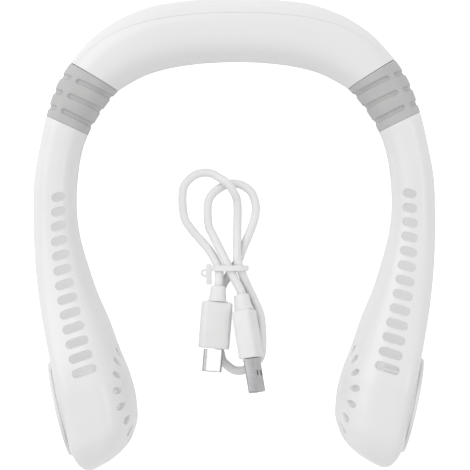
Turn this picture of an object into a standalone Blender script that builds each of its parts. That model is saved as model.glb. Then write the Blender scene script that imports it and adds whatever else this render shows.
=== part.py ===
"""A neck fan: a curved band that sits behind the neck, two arms that blow air up through a row
of slots, and a round blower in the pod at the end of each arm. Grey ribbed sleeves cover the
hinges between band and arms. A folded charging lead with a tie lies inside the U.

Metres, +Z up. The fan lies on its side as on a table: X across, +Y towards the back of the neck.
"""

import math

import bmesh
import bpy
import numpy as np
from mathutils import Matrix, Vector

# The fan as a whole
FAN_HALF_WIDTH = 0.0822     # middle of the fan to the outside of an arm
BODY_LENGTH = 0.1917        # back of the band to the tip of a pod
BAND_HEIGHT = 0.0315
ARM_HEIGHT = 0.0285
POD_HEIGHT = 0.0460
WALL = 0.0020
CLEARANCE = 0.0003          # between pieces that touch or nearly touch
SEAM_GAP = 0.0003           # between the two halves of a housing
FOOT_CUT = 0.0004           # how deep the underside is cut flat
OVERRUN = 0.0010            # how far a cutter runs past what it cuts
WELD = 0.0003               # how far joined shapes sink into each other

# The power button and what is behind it
BUTTON_WIDTH = 0.0137
BUTTON_HEIGHT = 0.0050
BUTTON_PROUD = 0.0012
BUTTON_LIFT = 0.0034        # above the middle of the band
BUTTON_TRAVEL = 0.0006
BUTTON_FLANGE = 0.0010
FLANGE_GAP = 0.0014         # from the band's wall to the flange, which is flat where the wall curves
STEM_RADIUS = 0.0016
SWITCH_SIZE = (0.0060, 0.0028, 0.0036)
SWITCH_BODY_SHARE = 0.7     # the rest of its depth is the plunger
CELL_BOARD_GAP = 0.0008      # from the board's side to a cell's nearest corner
BOARD_THICKNESS = 0.0012
BOARD_WALL_GAP = 0.0014
SOCKET_WIDTH = 0.0090
SOCKET_HEIGHT = 0.0032
SOCKET_LENGTH = 0.0068
SOCKET_WALL = 0.0003
SOCKET_DROP = 0.0052        # below the middle of the band
SOCKET_SETBACK = 0.0012     # from the back of the band to the socket's mouth
CHIP_SIZE = (0.0060, 0.0010, 0.0060)

# The battery cells
CELL_RADIUS = 0.0092
CELL_LENGTH = 0.0350
CELL_CAP_RADIUS = 0.0042
CELL_CAP_HEIGHT = 0.0006
CRADLE_HALF_WIDTH = 0.0034
CRADLE_WALL_GAP = 0.0005

# The sleeves and the hinges inside them
SLEEVE_WALL = 0.0024
GROOVE_DEPTH = 0.0008
GROOVE_WIDTH = 0.0019
GROOVE_PITCH = 0.0067
BULKHEAD_THICKNESS = 0.0030
EAR_RADIUS = 0.0045
EAR_THICKNESS = 0.0030
TONGUE_THICKNESS = 0.0060
PIN_RADIUS = 0.0015
PIN_HEAD_RADIUS = 0.0026
PIN_HEAD_HEIGHT = 0.0010

# The outlet slots in the arms
SLOT_PITCH = 0.00605
SLOT_WIDTH = 0.0034
SLOT_FIRST_LENGTH = 0.0054
SLOT_LAST_LENGTH = 0.0100
SLOT_FIRST_TILT_DEG = 16.0
SLOT_LAST_TILT_DEG = 18.0

# The intake cover and its collar
COVER_RADIUS = 0.0196
COVER_OVERHANG = 0.0008     # how far the cover reaches past its collar
COVER_RIM = 0.0013
COVER_CROWN = 0.0009
COVER_CROWN_SHARES = (0.97, 0.8, 0.45)
COVER_EDGE_SHARE = 0.8      # the rest of the rim's height is rounded
COVER_WALL = 0.0014
COVER_SLOTS = 15
COVER_SLOT_WIDTH = 0.0016
COVER_SLOT_INNER_RADIUS = 0.0080
COVER_SLOT_OUTER_RADIUS = 0.0150
SKIRT_WALL = 0.0012
SKIRT_DEPTH = 0.0016
COLLAR_WALL = 0.0015
COLLAR_DEPTH = 0.0050
COLLAR_PROUD = 0.0002
INTAKE_HOLES = 18
INTAKE_RING_RADIUS = 0.0181
INTAKE_HOLE_LENGTH = 0.0048
INTAKE_HOLE_WIDTH = 0.0034
INTAKE_TURN_DEG = -8.5       # how far the ring is turned from a hole at the top

# The blower, measured inwards from the collar's outer end
WHEEL_RADIUS = 0.0163
WHEEL_HEIGHT = 0.0098
WHEEL_PLATE = 0.0012
WHEEL_RING = 0.0012
BLADES = 22
BLADE_THICKNESS = 0.0006
BLADE_INNER_RADIUS = 0.0124
BLADE_SWEEP_DEG = 16.0
WINDOWS = 8
WINDOW_RADIUS = 0.0014
ROTOR_WALL = 0.0009
MAGNET_WALL = 0.0011
STATOR_RADIUS = 0.0058
STATOR_AIR_GAP = 0.0004
STATOR_HEIGHT = 0.0076
POST_RADIUS = 0.0026
SHAFT_RADIUS = 0.0010
MOUNT_THICKNESS = 0.0018
MOUNT_RIM = 0.0016
MOUNT_HUB_RADIUS = 0.0062
SPOKES = 3
SPOKE_WIDTH = 0.0024

# The charging lead
CORD_DIAMETER = 0.0036
CORD_POINTS = 76
CORD_BEVEL_RESOLUTION = 2
TIE_WIDTH = 0.0024
TIE_THICKNESS = 0.0008
TIE_TAIL_LENGTH = 0.0088
TIE_TAIL_START = 0.0020     # how far the tail starts behind the tie's middle
TIE_RING_RADIUS = 0.0018
TIE_HOLE_RADIUS = 0.0006
BOOT_LENGTH = 0.0066
BOOT_RADIUS = 0.0038
BOOT_TIP_RADIUS = 0.0030
BOOT_RECESS = 0.0016        # how far the cord goes into a boot
USB_A_HOUSING = (0.0140, 0.0080, 0.0200)
USB_A_SHELL = (0.0120, 0.0045, 0.0140)
USB_A_SHELL_WALL = 0.0004
USB_A_TONGUE = (0.0108, 0.0018, 0.0110)
USB_C_HOUSING = (0.0128, 0.0062, 0.0194)
USB_C_SHELL = (0.0084, 0.0026, 0.0094)
USB_C_SHELL_WALL = 0.0003
HOUSING_CORNER = 0.0022
HOUSING_BACK_SHARE = 0.86    # a housing's size at its ends, as a share of the middle's
HOUSING_FRONT_SHARE = 0.9

# Each row of the shell is one upright slice from the inner to the outer edge of the plan.
# The columns are: outer x and y, inner x and y, then how much of the band's, the arm's and the
# pod's height the top has, how high the underside lies and how far out the seam runs.
# x is a share of the half span, y of the body's length, the underside of the pod's height.
SHELL_SHARES = (
    (0.000, 0.000, 0.000, 0.136, 1.00, 0.00, 0.00, 0.00, 0.45),
    (0.224, 0.005, 0.190, 0.140, 1.00, 0.00, 0.00, 0.00, 0.47),
    (0.439, 0.021, 0.357, 0.152, 1.00, 0.00, 0.00, 0.00, 0.50),
    (0.584, 0.048, 0.449, 0.165, 1.00, 0.00, 0.00, 0.00, 0.58),
    (0.713, 0.089, 0.529, 0.183, 1.00, 0.00, 0.00, 0.00, 0.68),
    (0.806, 0.135, 0.575, 0.196, 0.85, 0.15, 0.00, 0.00, 0.78),
    (0.930, 0.248, 0.728, 0.289, 0.15, 0.85, 0.00, 0.00, 0.82),
    (0.970, 0.324, 0.766, 0.341, 0.00, 1.00, 0.00, 0.00, 0.86),
    (0.995, 0.388, 0.783, 0.397, 0.00, 1.00, 0.00, 0.00, 0.88),
    (1.000, 0.452, 0.786, 0.452, 0.00, 1.00, 0.00, 0.00, 0.88),
    (0.997, 0.523, 0.767, 0.512, 0.00, 0.95, 0.05, 0.00, 0.88),
    (0.985, 0.591, 0.727, 0.572, 0.00, 0.83, 0.17, 0.00, 0.88),
    (0.964, 0.655, 0.682, 0.628, 0.00, 0.64, 0.36, 0.00, 0.88),
    (0.934, 0.719, 0.623, 0.685, 0.00, 0.38, 0.62, 0.00, 0.88),
    (0.904, 0.776, 0.576, 0.740, 0.00, 0.13, 0.87, 0.00, 0.88),
    (0.869, 0.841, 0.521, 0.799, 0.00, 0.00, 1.00, 0.00, 0.88),
    (0.836, 0.906, 0.491, 0.859, 0.00, 0.00, 1.00, 0.00, 0.88),
    (0.804, 0.962, 0.499, 0.912, 0.00, 0.00, 0.97, 0.01, 0.88),
    (0.776, 0.983, 0.539, 0.947, 0.00, 0.00, 0.90, 0.07, 0.87),
    (0.744, 0.996, 0.614, 0.977, 0.00, 0.00, 0.78, 0.18, 0.85),
    (0.712, 1.000, 0.712, 1.000, 0.00, 0.00, 0.62, 0.36, 0.80),
)
# How square a slice is on its outer and inner side, for the band, the arm and the pod
OUTER_SQUARENESS = (2.6, 3.0, 7.0)
INNER_SQUARENESS = (2.6, 2.6, 2.1)
BAND_END = 5                # row where the band meets a sleeve
ARM_START = 6               # row where the sleeve meets an arm
ARM_END = 19.7
CAVITY_END = 18.7
COVER_FIRST_ROW = 14        # the cover lies on the outer side between these rows
COVER_LAST_ROW = 17
CELL_ROWS = (0.62, 2.55)    # a cell's ends lie near these rows
CRADLE_ROWS = (0.9, 2.1)
BAND_STATIONS = 13
ARM_STATIONS = 19
TIP_EASING = 1.35           # more than 1 sets the stations closer together towards the tip
OUTER_POINTS = 7
INNER_POINTS = 14
SLEEVE_POINTS = 20
SLEEVE_RIDGE_SHARE = 0.35   # where the grooves stop on the outer side, as a share of half a turn
SLEEVE_RIDGE_WIDTH_SHARE = 0.08
ROUND_SIDES = 24
SMALL_SIDES = 16
SLOT_SIDES = 3              # sides of each round end of a slot
# The middle of the row of slots, from its first to its last, as shares of half span and length
SLOT_PATH_SHARES = ((0.864, 0.422), (0.860, 0.517), (0.818, 0.639), (0.732, 0.785))

BACK_Y = (BODY_LENGTH - BUTTON_PROUD) / 2
SHARP_ANGLE = math.radians(32)
SIDES = {"left": -1, "right": 1}


# Materials
def plastic(name, colour, roughness, metallic=0.0):
    material = bpy.data.materials.new(name)
    material.use_nodes = True
    shader = material.node_tree.nodes["Principled BSDF"]
    shader.inputs["Base Color"].default_value = (*colour, 1.0)
    shader.inputs["Roughness"].default_value = roughness
    shader.inputs["Metallic"].default_value = metallic
    return material


# Meshes and objects
def clear_scene():
    for thing in list(bpy.data.objects):
        bpy.data.objects.remove(thing)


def empty(name, matrix, parent=None):
    helper = bpy.data.objects.new(name, None)
    bpy.context.collection.objects.link(helper)
    helper.empty_display_size = EAR_RADIUS
    helper.parent = parent
    base = parent.matrix_world.inverted() if parent else Matrix.Identity(4)
    helper.matrix_local = base @ matrix
    bpy.context.view_layer.update()
    return helper


def add_object(name, mesh, material, parent, matrix=None):
    """Adds a mesh whose points are in the frame of matrix, or in the part's frame, under parent."""
    thing = bpy.data.objects.new(name, mesh)
    bpy.context.collection.objects.link(thing)
    if material:
        mesh.materials.append(material)
    thing.parent = parent
    world = matrix if matrix else Matrix.Identity(4)
    if parent:
        mesh.transform(parent.matrix_world.inverted() @ world)
    else:
        mesh.transform(world)
    mesh.shade_smooth()
    mesh.set_sharp_from_angle(angle=SHARP_ANGLE)
    return thing


def finish_mesh(name, build):
    """Turns the faces outwards and hands back a mesh."""
    bmesh.ops.recalc_face_normals(build, faces=build.faces)
    mesh = bpy.data.meshes.new(name)
    build.to_mesh(mesh)
    build.free()
    return mesh


def loft(name, rings):
    """A solid through closed rings of points, capped at both ends."""
    build = bmesh.new()
    rows = [[build.verts.new(point) for point in ring] for ring in rings]
    count = len(rings[0])
    for low, high in zip(rows, rows[1:]):
        for i in range(count):
            j = (i + 1) % count
            build.faces.new((low[i], low[j], high[j], high[i]))
    build.faces.new(rows[0])
    build.faces.new(rows[-1])
    return finish_mesh(name, build)


def channel(name, outer_rows, inner_rows):
    """A wall between two open skins: the outer rows and the inner rows, of equal counts."""
    build = bmesh.new()
    outer = [[build.verts.new(point) for point in row] for row in outer_rows]
    inner = [[build.verts.new(point) for point in row] for row in inner_rows]
    last = len(outer[0]) - 1
    for skin in (outer, inner):
        for low, high in zip(skin, skin[1:]):
            for i in range(last):
                build.faces.new((low[i], low[i + 1], high[i + 1], high[i]))
    for k in range(len(outer) - 1):
        for i in (0, last):
            build.faces.new((outer[k][i], outer[k + 1][i], inner[k + 1][i], inner[k][i]))
    return build, outer, inner


def close_ring_end(build, outer, inner):
    """Closes a channel's open end with the cut face of its wall."""
    for i in range(len(outer) - 1):
        build.faces.new((outer[i], outer[i + 1], inner[i + 1], inner[i]))


def close_blind_end(build, outer, inner):
    """Closes a channel's end all over, with an end wall between its two skins."""
    build.faces.new(outer)
    build.faces.new(inner)
    build.faces.new((outer[0], outer[-1], inner[-1], inner[0]))


def turned(name, profile, sides=ROUND_SIDES):
    """A solid of revolution about Z from (radius, z) points. A profile off the axis gives a ring."""
    rings = []
    for i in range(sides):
        angle = math.tau * i / sides
        rings.append([(r * math.cos(angle), r * math.sin(angle), z) for r, z in profile])
    build = bmesh.new()
    axis_verts = {k: build.verts.new((0, 0, z)) for k, (r, z) in enumerate(profile) if r == 0}
    rows = [
        [axis_verts[k] if k in axis_verts else build.verts.new(p) for k, p in enumerate(ring)]
        for ring in rings
    ]
    count = len(profile)
    for i in range(sides):
        here, there = rows[i], rows[(i + 1) % sides]
        for k in range(count):
            n = (k + 1) % count
            corners = []
            for vert in (here[k], there[k], there[n], here[n]):
                if vert not in corners:
                    corners.append(vert)
            if len(corners) > 2:
                build.faces.new(corners)
    return finish_mesh(name, build)


def prism(name, outline, low, high):
    """An outline in X and Y, extruded along Z from low to high."""
    rings = [[(x, y, z) for x, y in outline] for z in (low, high)]
    return loft(name, rings)


def stadium(length, width, sides=SLOT_SIDES):
    """A slot's outline along X, with round ends."""
    radius = width / 2
    reach = max(length / 2 - radius, 0)
    points = []
    for end in (1, -1):
        for i in range(sides + 1):
            angle = math.pi * (i / sides - 1 / 2)
            points.append((end * (reach + radius * math.cos(angle)), end * radius * math.sin(angle)))
    return points


def rounded_rectangle(width, height, corner, sides=2):
    points = []
    for sx, sy, start in ((1, 1, 0), (-1, 1, 1), (-1, -1, 2), (1, -1, 3)):
        for i in range(sides + 1):
            angle = math.pi / 2 * (start + i / sides)
            x = sx * (width / 2 - corner) + corner * math.cos(angle)
            y = sy * (height / 2 - corner) + corner * math.sin(angle)
            points.append((x, y))
    return points


def circle(radius, sides=SMALL_SIDES):
    return [
        (radius * math.cos(math.tau * i / sides), radius * math.sin(math.tau * i / sides))
        for i in range(sides)
    ]


def joined(name, meshes):
    """One mesh from several, still as separate bodies, such as a row of cutters."""
    build = bmesh.new()
    for mesh in meshes:
        build.from_mesh(mesh)
        bpy.data.meshes.remove(mesh)
    mesh = bpy.data.meshes.new(name)
    build.to_mesh(mesh)
    build.free()
    return mesh


def boolean(target, mesh, operation, parent=None, matrix=None):
    """Cuts a helper's shape out of the target, or joins it to the target."""
    helper = add_object(f"{target.name}_{operation.lower()}_{mesh.name}", mesh, None, parent, matrix)
    helper.hide_render = True
    helper.display_type = "WIRE"
    modifier = target.modifiers.new(mesh.name, "BOOLEAN")
    modifier.operation = operation
    modifier.solver = "EXACT"
    modifier.object = helper


def moved(mesh, matrix):
    mesh.transform(matrix)
    return mesh


# The fan's plan and its slices
def smooth_between(a, b, c, d, gaps, share):
    """A point between b and c on a smooth curve through a, b, c and d, which lie the gaps apart."""
    before, here, after = gaps
    leave = here * ((b - a) / before - (c - a) / (before + here) + (c - b) / here)
    arrive = here * ((c - b) / here - (d - b) / (here + after) + (d - c) / after)
    square = 3 * (c - b) - 2 * leave - arrive
    cube = 2 * (b - c) + leave + arrive
    return b + leave * share + square * share**2 + cube * share**3


def shell_row(t):
    """The shell's row at a place between the rows of the table, on a smooth curve through them."""
    rows = SHELL_SHARES
    index = min(int(math.floor(t)), len(rows) - 2)

    def row(k):
        if k < 0:
            before = rows[-k]
            return np.array((-before[0], before[1], -before[2], *before[3:]))
        if k >= len(rows):
            return 2 * np.array(rows[-1]) - np.array(rows[-2])
        return np.array(rows[k])

    near = [row(index + k) for k in (-1, 0, 1, 2)]
    middles = [plan_point((a[0] + a[2]) / 2, (a[1] + a[3]) / 2) for a in near]
    gaps = [(b - a).length for a, b in zip(middles, middles[1:])]
    return smooth_between(*near, gaps, t - index)


def plan_point(share_x, share_y):
    return Vector((share_x * FAN_HALF_WIDTH, BACK_Y - share_y * BODY_LENGTH, 0))


def slice_at(t, side=1):
    """The slice at row t: its outer and inner edge, underside, top, seam and squareness."""
    row = shell_row(abs(t))
    direction = side * (-1 if t < 0 else 1)
    outer, inner = plan_point(row[0], row[1]), plan_point(row[2], row[3])
    outer.x *= direction
    inner.x *= direction
    weights = np.clip(row[4:7], 0, 1)
    top = float(np.dot(weights, (BAND_HEIGHT, ARM_HEIGHT, POD_HEIGHT)))
    weights = weights / weights.sum()
    return {
        "outer": outer,
        "inner": inner,
        "low": max(row[7], 0) * POD_HEIGHT - FOOT_CUT,
        "high": top,
        "seam": row[8],
        "outer_power": float(np.dot(weights, OUTER_SQUARENESS)),
        "inner_power": float(np.dot(weights, INNER_SQUARENESS)),
    }


def slice_point(cut, angle, inset):
    """A point on a slice's outline. Angle 0 is the middle of the outer side, a quarter turn the top."""
    middle = (cut["outer"] + cut["inner"]) / 2
    across = (cut["outer"] - cut["inner"]) / 2
    half_width = across.length - inset
    half_height = (cut["high"] - cut["low"]) / 2 - inset
    cosine, sine = math.cos(angle), math.sin(angle)
    power = cut["outer_power"] if cosine > 0 else cut["inner_power"]
    u = math.copysign(abs(cosine) ** (2 / power), cosine)
    v = math.copysign(abs(sine) ** (2 / power), sine)
    point = middle + across.normalized() * (u * half_width)
    point.z = max((cut["high"] + cut["low"]) / 2 + v * half_height, inset)
    return point


def seam_angles(cut, inset):
    """The angles of the seam, from the side of the outer half and from that of the inner half."""
    angle = math.acos(cut["seam"] ** (cut["outer_power"] / 2))
    step = SEAM_GAP / cut["high"]
    speed = (slice_point(cut, angle + step, inset) - slice_point(cut, angle - step, inset)).length
    half_gap = SEAM_GAP * step / speed
    return angle - half_gap, angle + half_gap


def half_row(t, side, inset, half):
    """The points of one half of a slice, outer or inner, from its one seam to the other."""
    cut = slice_at(t, side)
    before, after = seam_angles(cut, inset)
    first, last, count = (
        (-before, before, OUTER_POINTS) if half == "outer" else (after, math.tau - after, INNER_POINTS)
    )
    angles = [first + (last - first) * i / (count - 1) for i in range(count)]
    return [slice_point(cut, angle, inset) for angle in angles]


def full_ring(t, side, inset, count=SLEEVE_POINTS):
    cut = slice_at(t, side)
    return [slice_point(cut, math.tau * i / count, inset) for i in range(count)]


def spine(t, side=1):
    """The middle of the slice at row t, at half its height."""
    cut = slice_at(t, side)
    point = (cut["outer"] + cut["inner"]) / 2
    point.z = (cut["high"] + max(cut["low"], 0)) / 2
    return point


def row_step(t, length):
    """How many rows a length is, near row t."""
    nearby = WALL / BODY_LENGTH
    return length * 2 * nearby / (spine(t + nearby) - spine(t - nearby)).length


def arm_stations(end):
    places = []
    for k in range(ARM_STATIONS):
        share = k / (ARM_STATIONS - 1)
        places.append(ARM_START + (end - ARM_START) * (1 - (1 - share) ** TIP_EASING))
    return places


def band_stations():
    return [BAND_END * (2 * k / (BAND_STATIONS - 1) - 1) for k in range(BAND_STATIONS)]


def pod_frame(side):
    """The blower's frame: its origin is the middle of the collar's outer end, +Z points outwards."""
    first = slice_at(COVER_FIRST_ROW, side)["outer"]
    last = slice_at(COVER_LAST_ROW, side)["outer"]
    along = (last - first).normalized()
    outward = Vector((-along.y, along.x, 0)) * side
    middle = (first + last) / 2 + outward * COLLAR_PROUD
    middle.z = POD_HEIGHT / 2
    up = Vector((0, 0, 1))
    frame = Matrix.Identity(4)
    for column, axis in enumerate((up, outward.cross(up), outward)):
        frame.col[column][:3] = axis
    frame.translation = middle
    return frame


def pivot_point(side):
    """The middle of a sleeve, where the hinge pin stands."""
    return spine((BAND_END + ARM_START) / 2, side)


# The band
def band_shells(parent, white):
    places = band_stations()
    for half in ("outer", "inner"):
        outer_rows = [half_row(t, 1, 0, half) for t in places]
        inner_rows = [half_row(t, 1, WALL, half) for t in places]
        build, outer, inner = channel(f"band_{half}_shell", outer_rows, inner_rows)
        close_ring_end(build, outer[0], inner[0])
        close_ring_end(build, outer[-1], inner[-1])
        shell = add_object(f"band_{half}_shell", finish_mesh(f"band_{half}_shell", build), white, parent)
        if half == "outer":
            for mesh in (button_hole(), socket_hole()):
                boolean(shell, mesh, "DIFFERENCE", parent)


def back_frame(lift):
    """A frame on the back of the band: +Z points out of it, X along it, above its middle by lift."""
    frame = Matrix.Identity(4)
    for column, axis in enumerate(((-1, 0, 0), (0, 0, 1), (0, 1, 0))):
        frame.col[column][:3] = axis
    frame.translation = (0, BACK_Y, BAND_HEIGHT / 2 + lift)
    return frame


def button_hole():
    outline = stadium(BUTTON_WIDTH + 2 * CLEARANCE, BUTTON_HEIGHT + 2 * CLEARANCE)
    return moved(prism("button_hole", outline, -WALL - OVERRUN, OVERRUN), back_frame(BUTTON_LIFT))


def socket_hole():
    outline = stadium(SOCKET_WIDTH + 2 * CLEARANCE, SOCKET_HEIGHT + 2 * CLEARANCE)
    return moved(prism("socket_hole", outline, -WALL - OVERRUN, OVERRUN), back_frame(-SOCKET_DROP))


def power_button(parent, grey):
    frame = back_frame(BUTTON_LIFT)
    under_wall = -WALL - FLANGE_GAP
    cap = prism("power_button", stadium(BUTTON_WIDTH, BUTTON_HEIGHT), under_wall - WELD, BUTTON_PROUD)
    button = add_object("power_button", cap, grey, parent, frame)
    wide = stadium(BUTTON_WIDTH + 2 * BUTTON_FLANGE, BUTTON_HEIGHT + 2 * BUTTON_FLANGE)
    flange = prism("flange", wide, under_wall - BUTTON_FLANGE, under_wall)
    boolean(button, flange, "UNION", parent, frame)
    stem_end = board_depth() + SWITCH_SIZE[1] + 2 * CLEARANCE + BUTTON_TRAVEL
    stem = prism("stem", circle(STEM_RADIUS), stem_end, under_wall - BUTTON_FLANGE + WELD)
    boolean(button, stem, "UNION", parent, frame)


def board_depth():
    """Where the board's outer face is, along the back frame's +Z."""
    return -SOCKET_SETBACK - SOCKET_LENGTH - CLEARANCE


def board_half_width():
    frame = cell_frame(SIDES["right"])
    corners = [frame @ Vector((0, sign * CELL_RADIUS, -CELL_LENGTH / 2)) for sign in (-1, 1)]
    return min(corner.x for corner in corners) - CELL_BOARD_GAP


def electronics(parent, green, steel, black):
    face = board_depth()
    half = board_half_width()
    low = WALL + BOARD_WALL_GAP - BAND_HEIGHT / 2
    high = BAND_HEIGHT / 2 - WALL - BOARD_WALL_GAP
    outline = [(-half, low), (half, low), (half, high), (-half, high)]
    board = add_object(
        "control_board", prism("control_board", outline, face - BOARD_THICKNESS, face), green, parent,
        back_frame(0),
    )
    chip = rounded_rectangle(CHIP_SIZE[0], CHIP_SIZE[2], CLEARANCE, 1)
    back = face - BOARD_THICKNESS
    boolean(board, prism("chip", chip, back - CHIP_SIZE[1], back + WELD), "UNION", parent, back_frame(0))

    size_x, size_y, size_z = SWITCH_SIZE
    base = face + CLEARANCE
    outline = rounded_rectangle(size_x, size_z, CLEARANCE, 1)
    body = prism("push_switch", outline, base, base + size_y * SWITCH_BODY_SHARE)
    switch = add_object("push_switch", body, black, parent, back_frame(BUTTON_LIFT))
    plunger = prism("plunger", circle(STEM_RADIUS), base + size_y / 2, base + size_y)
    boolean(switch, plunger, "UNION", parent, back_frame(BUTTON_LIFT))

    mouth = -SOCKET_SETBACK
    frame = back_frame(-SOCKET_DROP)
    can = prism("charge_socket", stadium(SOCKET_WIDTH, SOCKET_HEIGHT), mouth - SOCKET_LENGTH, mouth)
    socket = add_object("charge_socket", can, steel, parent, frame)
    hollow = stadium(SOCKET_WIDTH - 2 * SOCKET_WALL, SOCKET_HEIGHT - 2 * SOCKET_WALL)
    boolean(socket, prism("mouth", hollow, mouth - SOCKET_LENGTH + OVERRUN, mouth + OVERRUN), "DIFFERENCE",
            parent, frame)
    tab = rounded_rectangle(SOCKET_WIDTH - SOCKET_HEIGHT, SOCKET_HEIGHT / 4, SOCKET_WALL, 1)
    boolean(socket, prism("tab", tab, mouth - SOCKET_LENGTH + OVERRUN / 2, mouth - OVERRUN), "UNION",
            parent, frame)


def cell_frame(side):
    """A cell's frame: its axis is +Z, along the band, and it lies as evenly as it can in the curve."""
    first, last = (spine(row, side) for row in CELL_ROWS)
    along = (last - first).normalized()
    middle = ((first + last) / 2 + spine(sum(CELL_ROWS) / 2, side)) / 2
    up = Vector((0, 0, 1))
    frame = Matrix.Identity(4)
    for column, axis in enumerate((up, along.cross(up), along)):
        frame.col[column][:3] = axis
    frame.translation = middle
    return frame


def battery(parent, wrap, white):
    half = CELL_LENGTH / 2
    cap = half - CELL_CAP_HEIGHT
    profile = (
        (0, -half), (CELL_RADIUS, -half), (CELL_RADIUS, cap), (CELL_CAP_RADIUS, cap),
        (CELL_CAP_RADIUS, half), (0, half),
    )
    for name, side in SIDES.items():
        frame = cell_frame(side)
        add_object(f"battery_cell_{name}", turned(f"battery_cell_{name}", profile), wrap, parent, frame)
        rings = []
        for row in np.linspace(*CRADLE_ROWS, 5):
            cut = slice_at(row, side)
            middle = (cut["outer"] + cut["inner"]) / 2
            across = (cut["outer"] - cut["inner"]).normalized() * CRADLE_HALF_WIDTH
            low, high = WALL + CRADLE_WALL_GAP, frame.translation.z
            rings.append([
                (*(middle + across * sign)[:2], z)
                for sign, z in ((-1, low), (1, low), (1, high), (-1, high))
            ])
        mesh = loft(f"cell_cradle_{name}", rings)
        cradle = add_object(f"cell_cradle_{name}", mesh, white, parent)
        reach = half + OVERRUN
        room = prism("room", circle(CELL_RADIUS + CLEARANCE, ROUND_SIDES), -reach, reach)
        boolean(cradle, room, "DIFFERENCE", parent, frame)


# The hinges and sleeves
def ear_outline(length):
    """A tongue's outline: it starts at X = -length and ends round about the origin."""
    points = [(-length, -EAR_RADIUS)]
    for i in range(SMALL_SIDES // 2 + 1):
        angle = math.pi * (i / (SMALL_SIDES // 2) - 1 / 2)
        points.append((EAR_RADIUS * math.cos(angle), EAR_RADIUS * math.sin(angle)))
    points.append((-length, EAR_RADIUS))
    return points


def hinge_piece(name, end_row, inward, side, levels, parent, material):
    """A bulkhead in the end of a housing, with flat ears that reach the hinge pin."""
    start = end_row - inward * row_step(end_row, BULKHEAD_THICKNESS)
    inset = WALL + 2 * CLEARANCE
    rings = [full_ring(row, side, inset) for row in (start, end_row)]
    piece = add_object(name, loft(name, rings), material, parent)
    pivot = pivot_point(side)
    foot = spine(end_row, side)
    reach = pivot - foot
    reach.z = 0
    length = reach.length + BULKHEAD_THICKNESS / 2
    frame = Matrix.Translation(pivot) @ Matrix.Rotation(math.atan2(reach.y, reach.x), 4, "Z")
    for k, (low, high) in enumerate(levels):
        boolean(piece, prism(f"ear_{k}", ear_outline(length), low, high), "UNION", parent, frame)
    hole_reach = sum(abs(level) for level in levels[0]) + EAR_THICKNESS
    hole = prism("pin_hole", circle(PIN_RADIUS + CLEARANCE), -hole_reach, hole_reach)
    boolean(piece, hole, "DIFFERENCE", parent, frame)


def hinge_pin(name, side, parent, steel):
    reach = TONGUE_THICKNESS / 2 + CLEARANCE + EAR_THICKNESS
    head_low = reach + CLEARANCE
    profile = (
        (0, -reach), (PIN_RADIUS, -reach), (PIN_RADIUS, head_low), (PIN_HEAD_RADIUS, head_low),
        (PIN_HEAD_RADIUS, head_low + PIN_HEAD_HEIGHT), (0, head_low + PIN_HEAD_HEIGHT),
    )
    frame = Matrix.Translation(pivot_point(side))
    add_object(name, turned(name, profile, SMALL_SIDES), steel, parent, frame)


def hinges(band, arms, white, steel):
    half = TONGUE_THICKNESS / 2
    low_ear = (-half - CLEARANCE - EAR_THICKNESS, -half - CLEARANCE)
    high_ear = (half + CLEARANCE, half + CLEARANCE + EAR_THICKNESS)
    for name, side in SIDES.items():
        hinge_piece(f"hinge_fork_{name}", BAND_END, 1, side, (low_ear, high_ear), band, white)
        hinge_piece(f"hinge_tongue_{name}", ARM_START, -1, side, ((-half, half),), arms[name], white)
        hinge_pin(f"hinge_pin_{name}", side, band, steel)


def groove_share(place, angle, length):
    """How deep the groove is at a place along the sleeve, from 0 to 1, and at an angle round it."""
    middle = length / 2
    nearest = min(abs(place - middle - k * GROOVE_PITCH) for k in (-1, 0, 1))
    across = max(0, 1 - (2 * nearest / GROOVE_WIDTH) ** 4)
    turn = abs((angle + math.pi) % math.tau - math.pi) / math.pi
    off_ridge = abs(turn - SLEEVE_RIDGE_SHARE) / SLEEVE_RIDGE_WIDTH_SHARE
    return across * min(1, max(0, off_ridge - 1 / 2))


def flex_sleeves(parent, silicone):
    for name, side in SIDES.items():
        gap = row_step((BAND_END + ARM_START) / 2, CLEARANCE)
        first, last = BAND_END + gap, ARM_START - gap
        length = (spine(last, side) - spine(first, side)).length
        half_groove = GROOVE_WIDTH / 2
        places = [0, (length - 3 * GROOVE_PITCH) / 2]
        for k in (-1, 0, 1):
            middle = length / 2 + k * GROOVE_PITCH
            places += [
                middle - half_groove, middle - half_groove / 2,
                middle + half_groove / 2, middle + half_groove,
            ]
        places += [(length + 3 * GROOVE_PITCH) / 2, length]
        places = sorted(place for place in places if 0 <= place <= length)
        outer_rings = []
        for place in places:
            row = first + (last - first) * place / length
            cut = slice_at(row, side)
            ring = []
            for i in range(SLEEVE_POINTS):
                angle = math.tau * i / SLEEVE_POINTS
                inset = GROOVE_DEPTH * groove_share(place, angle, length)
                ring.append(slice_point(cut, angle, inset))
            outer_rings.append(ring)
        mesh = loft(f"flex_sleeve_{name}", outer_rings)
        sleeve = add_object(f"flex_sleeve_{name}", mesh, silicone, parent)
        past = row_step(first, OVERRUN)
        rows = np.linspace(first - past, last + past, 5)
        bore = loft("bore", [full_ring(row, side, SLEEVE_WALL) for row in rows])
        boolean(sleeve, bore, "DIFFERENCE", parent)


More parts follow.
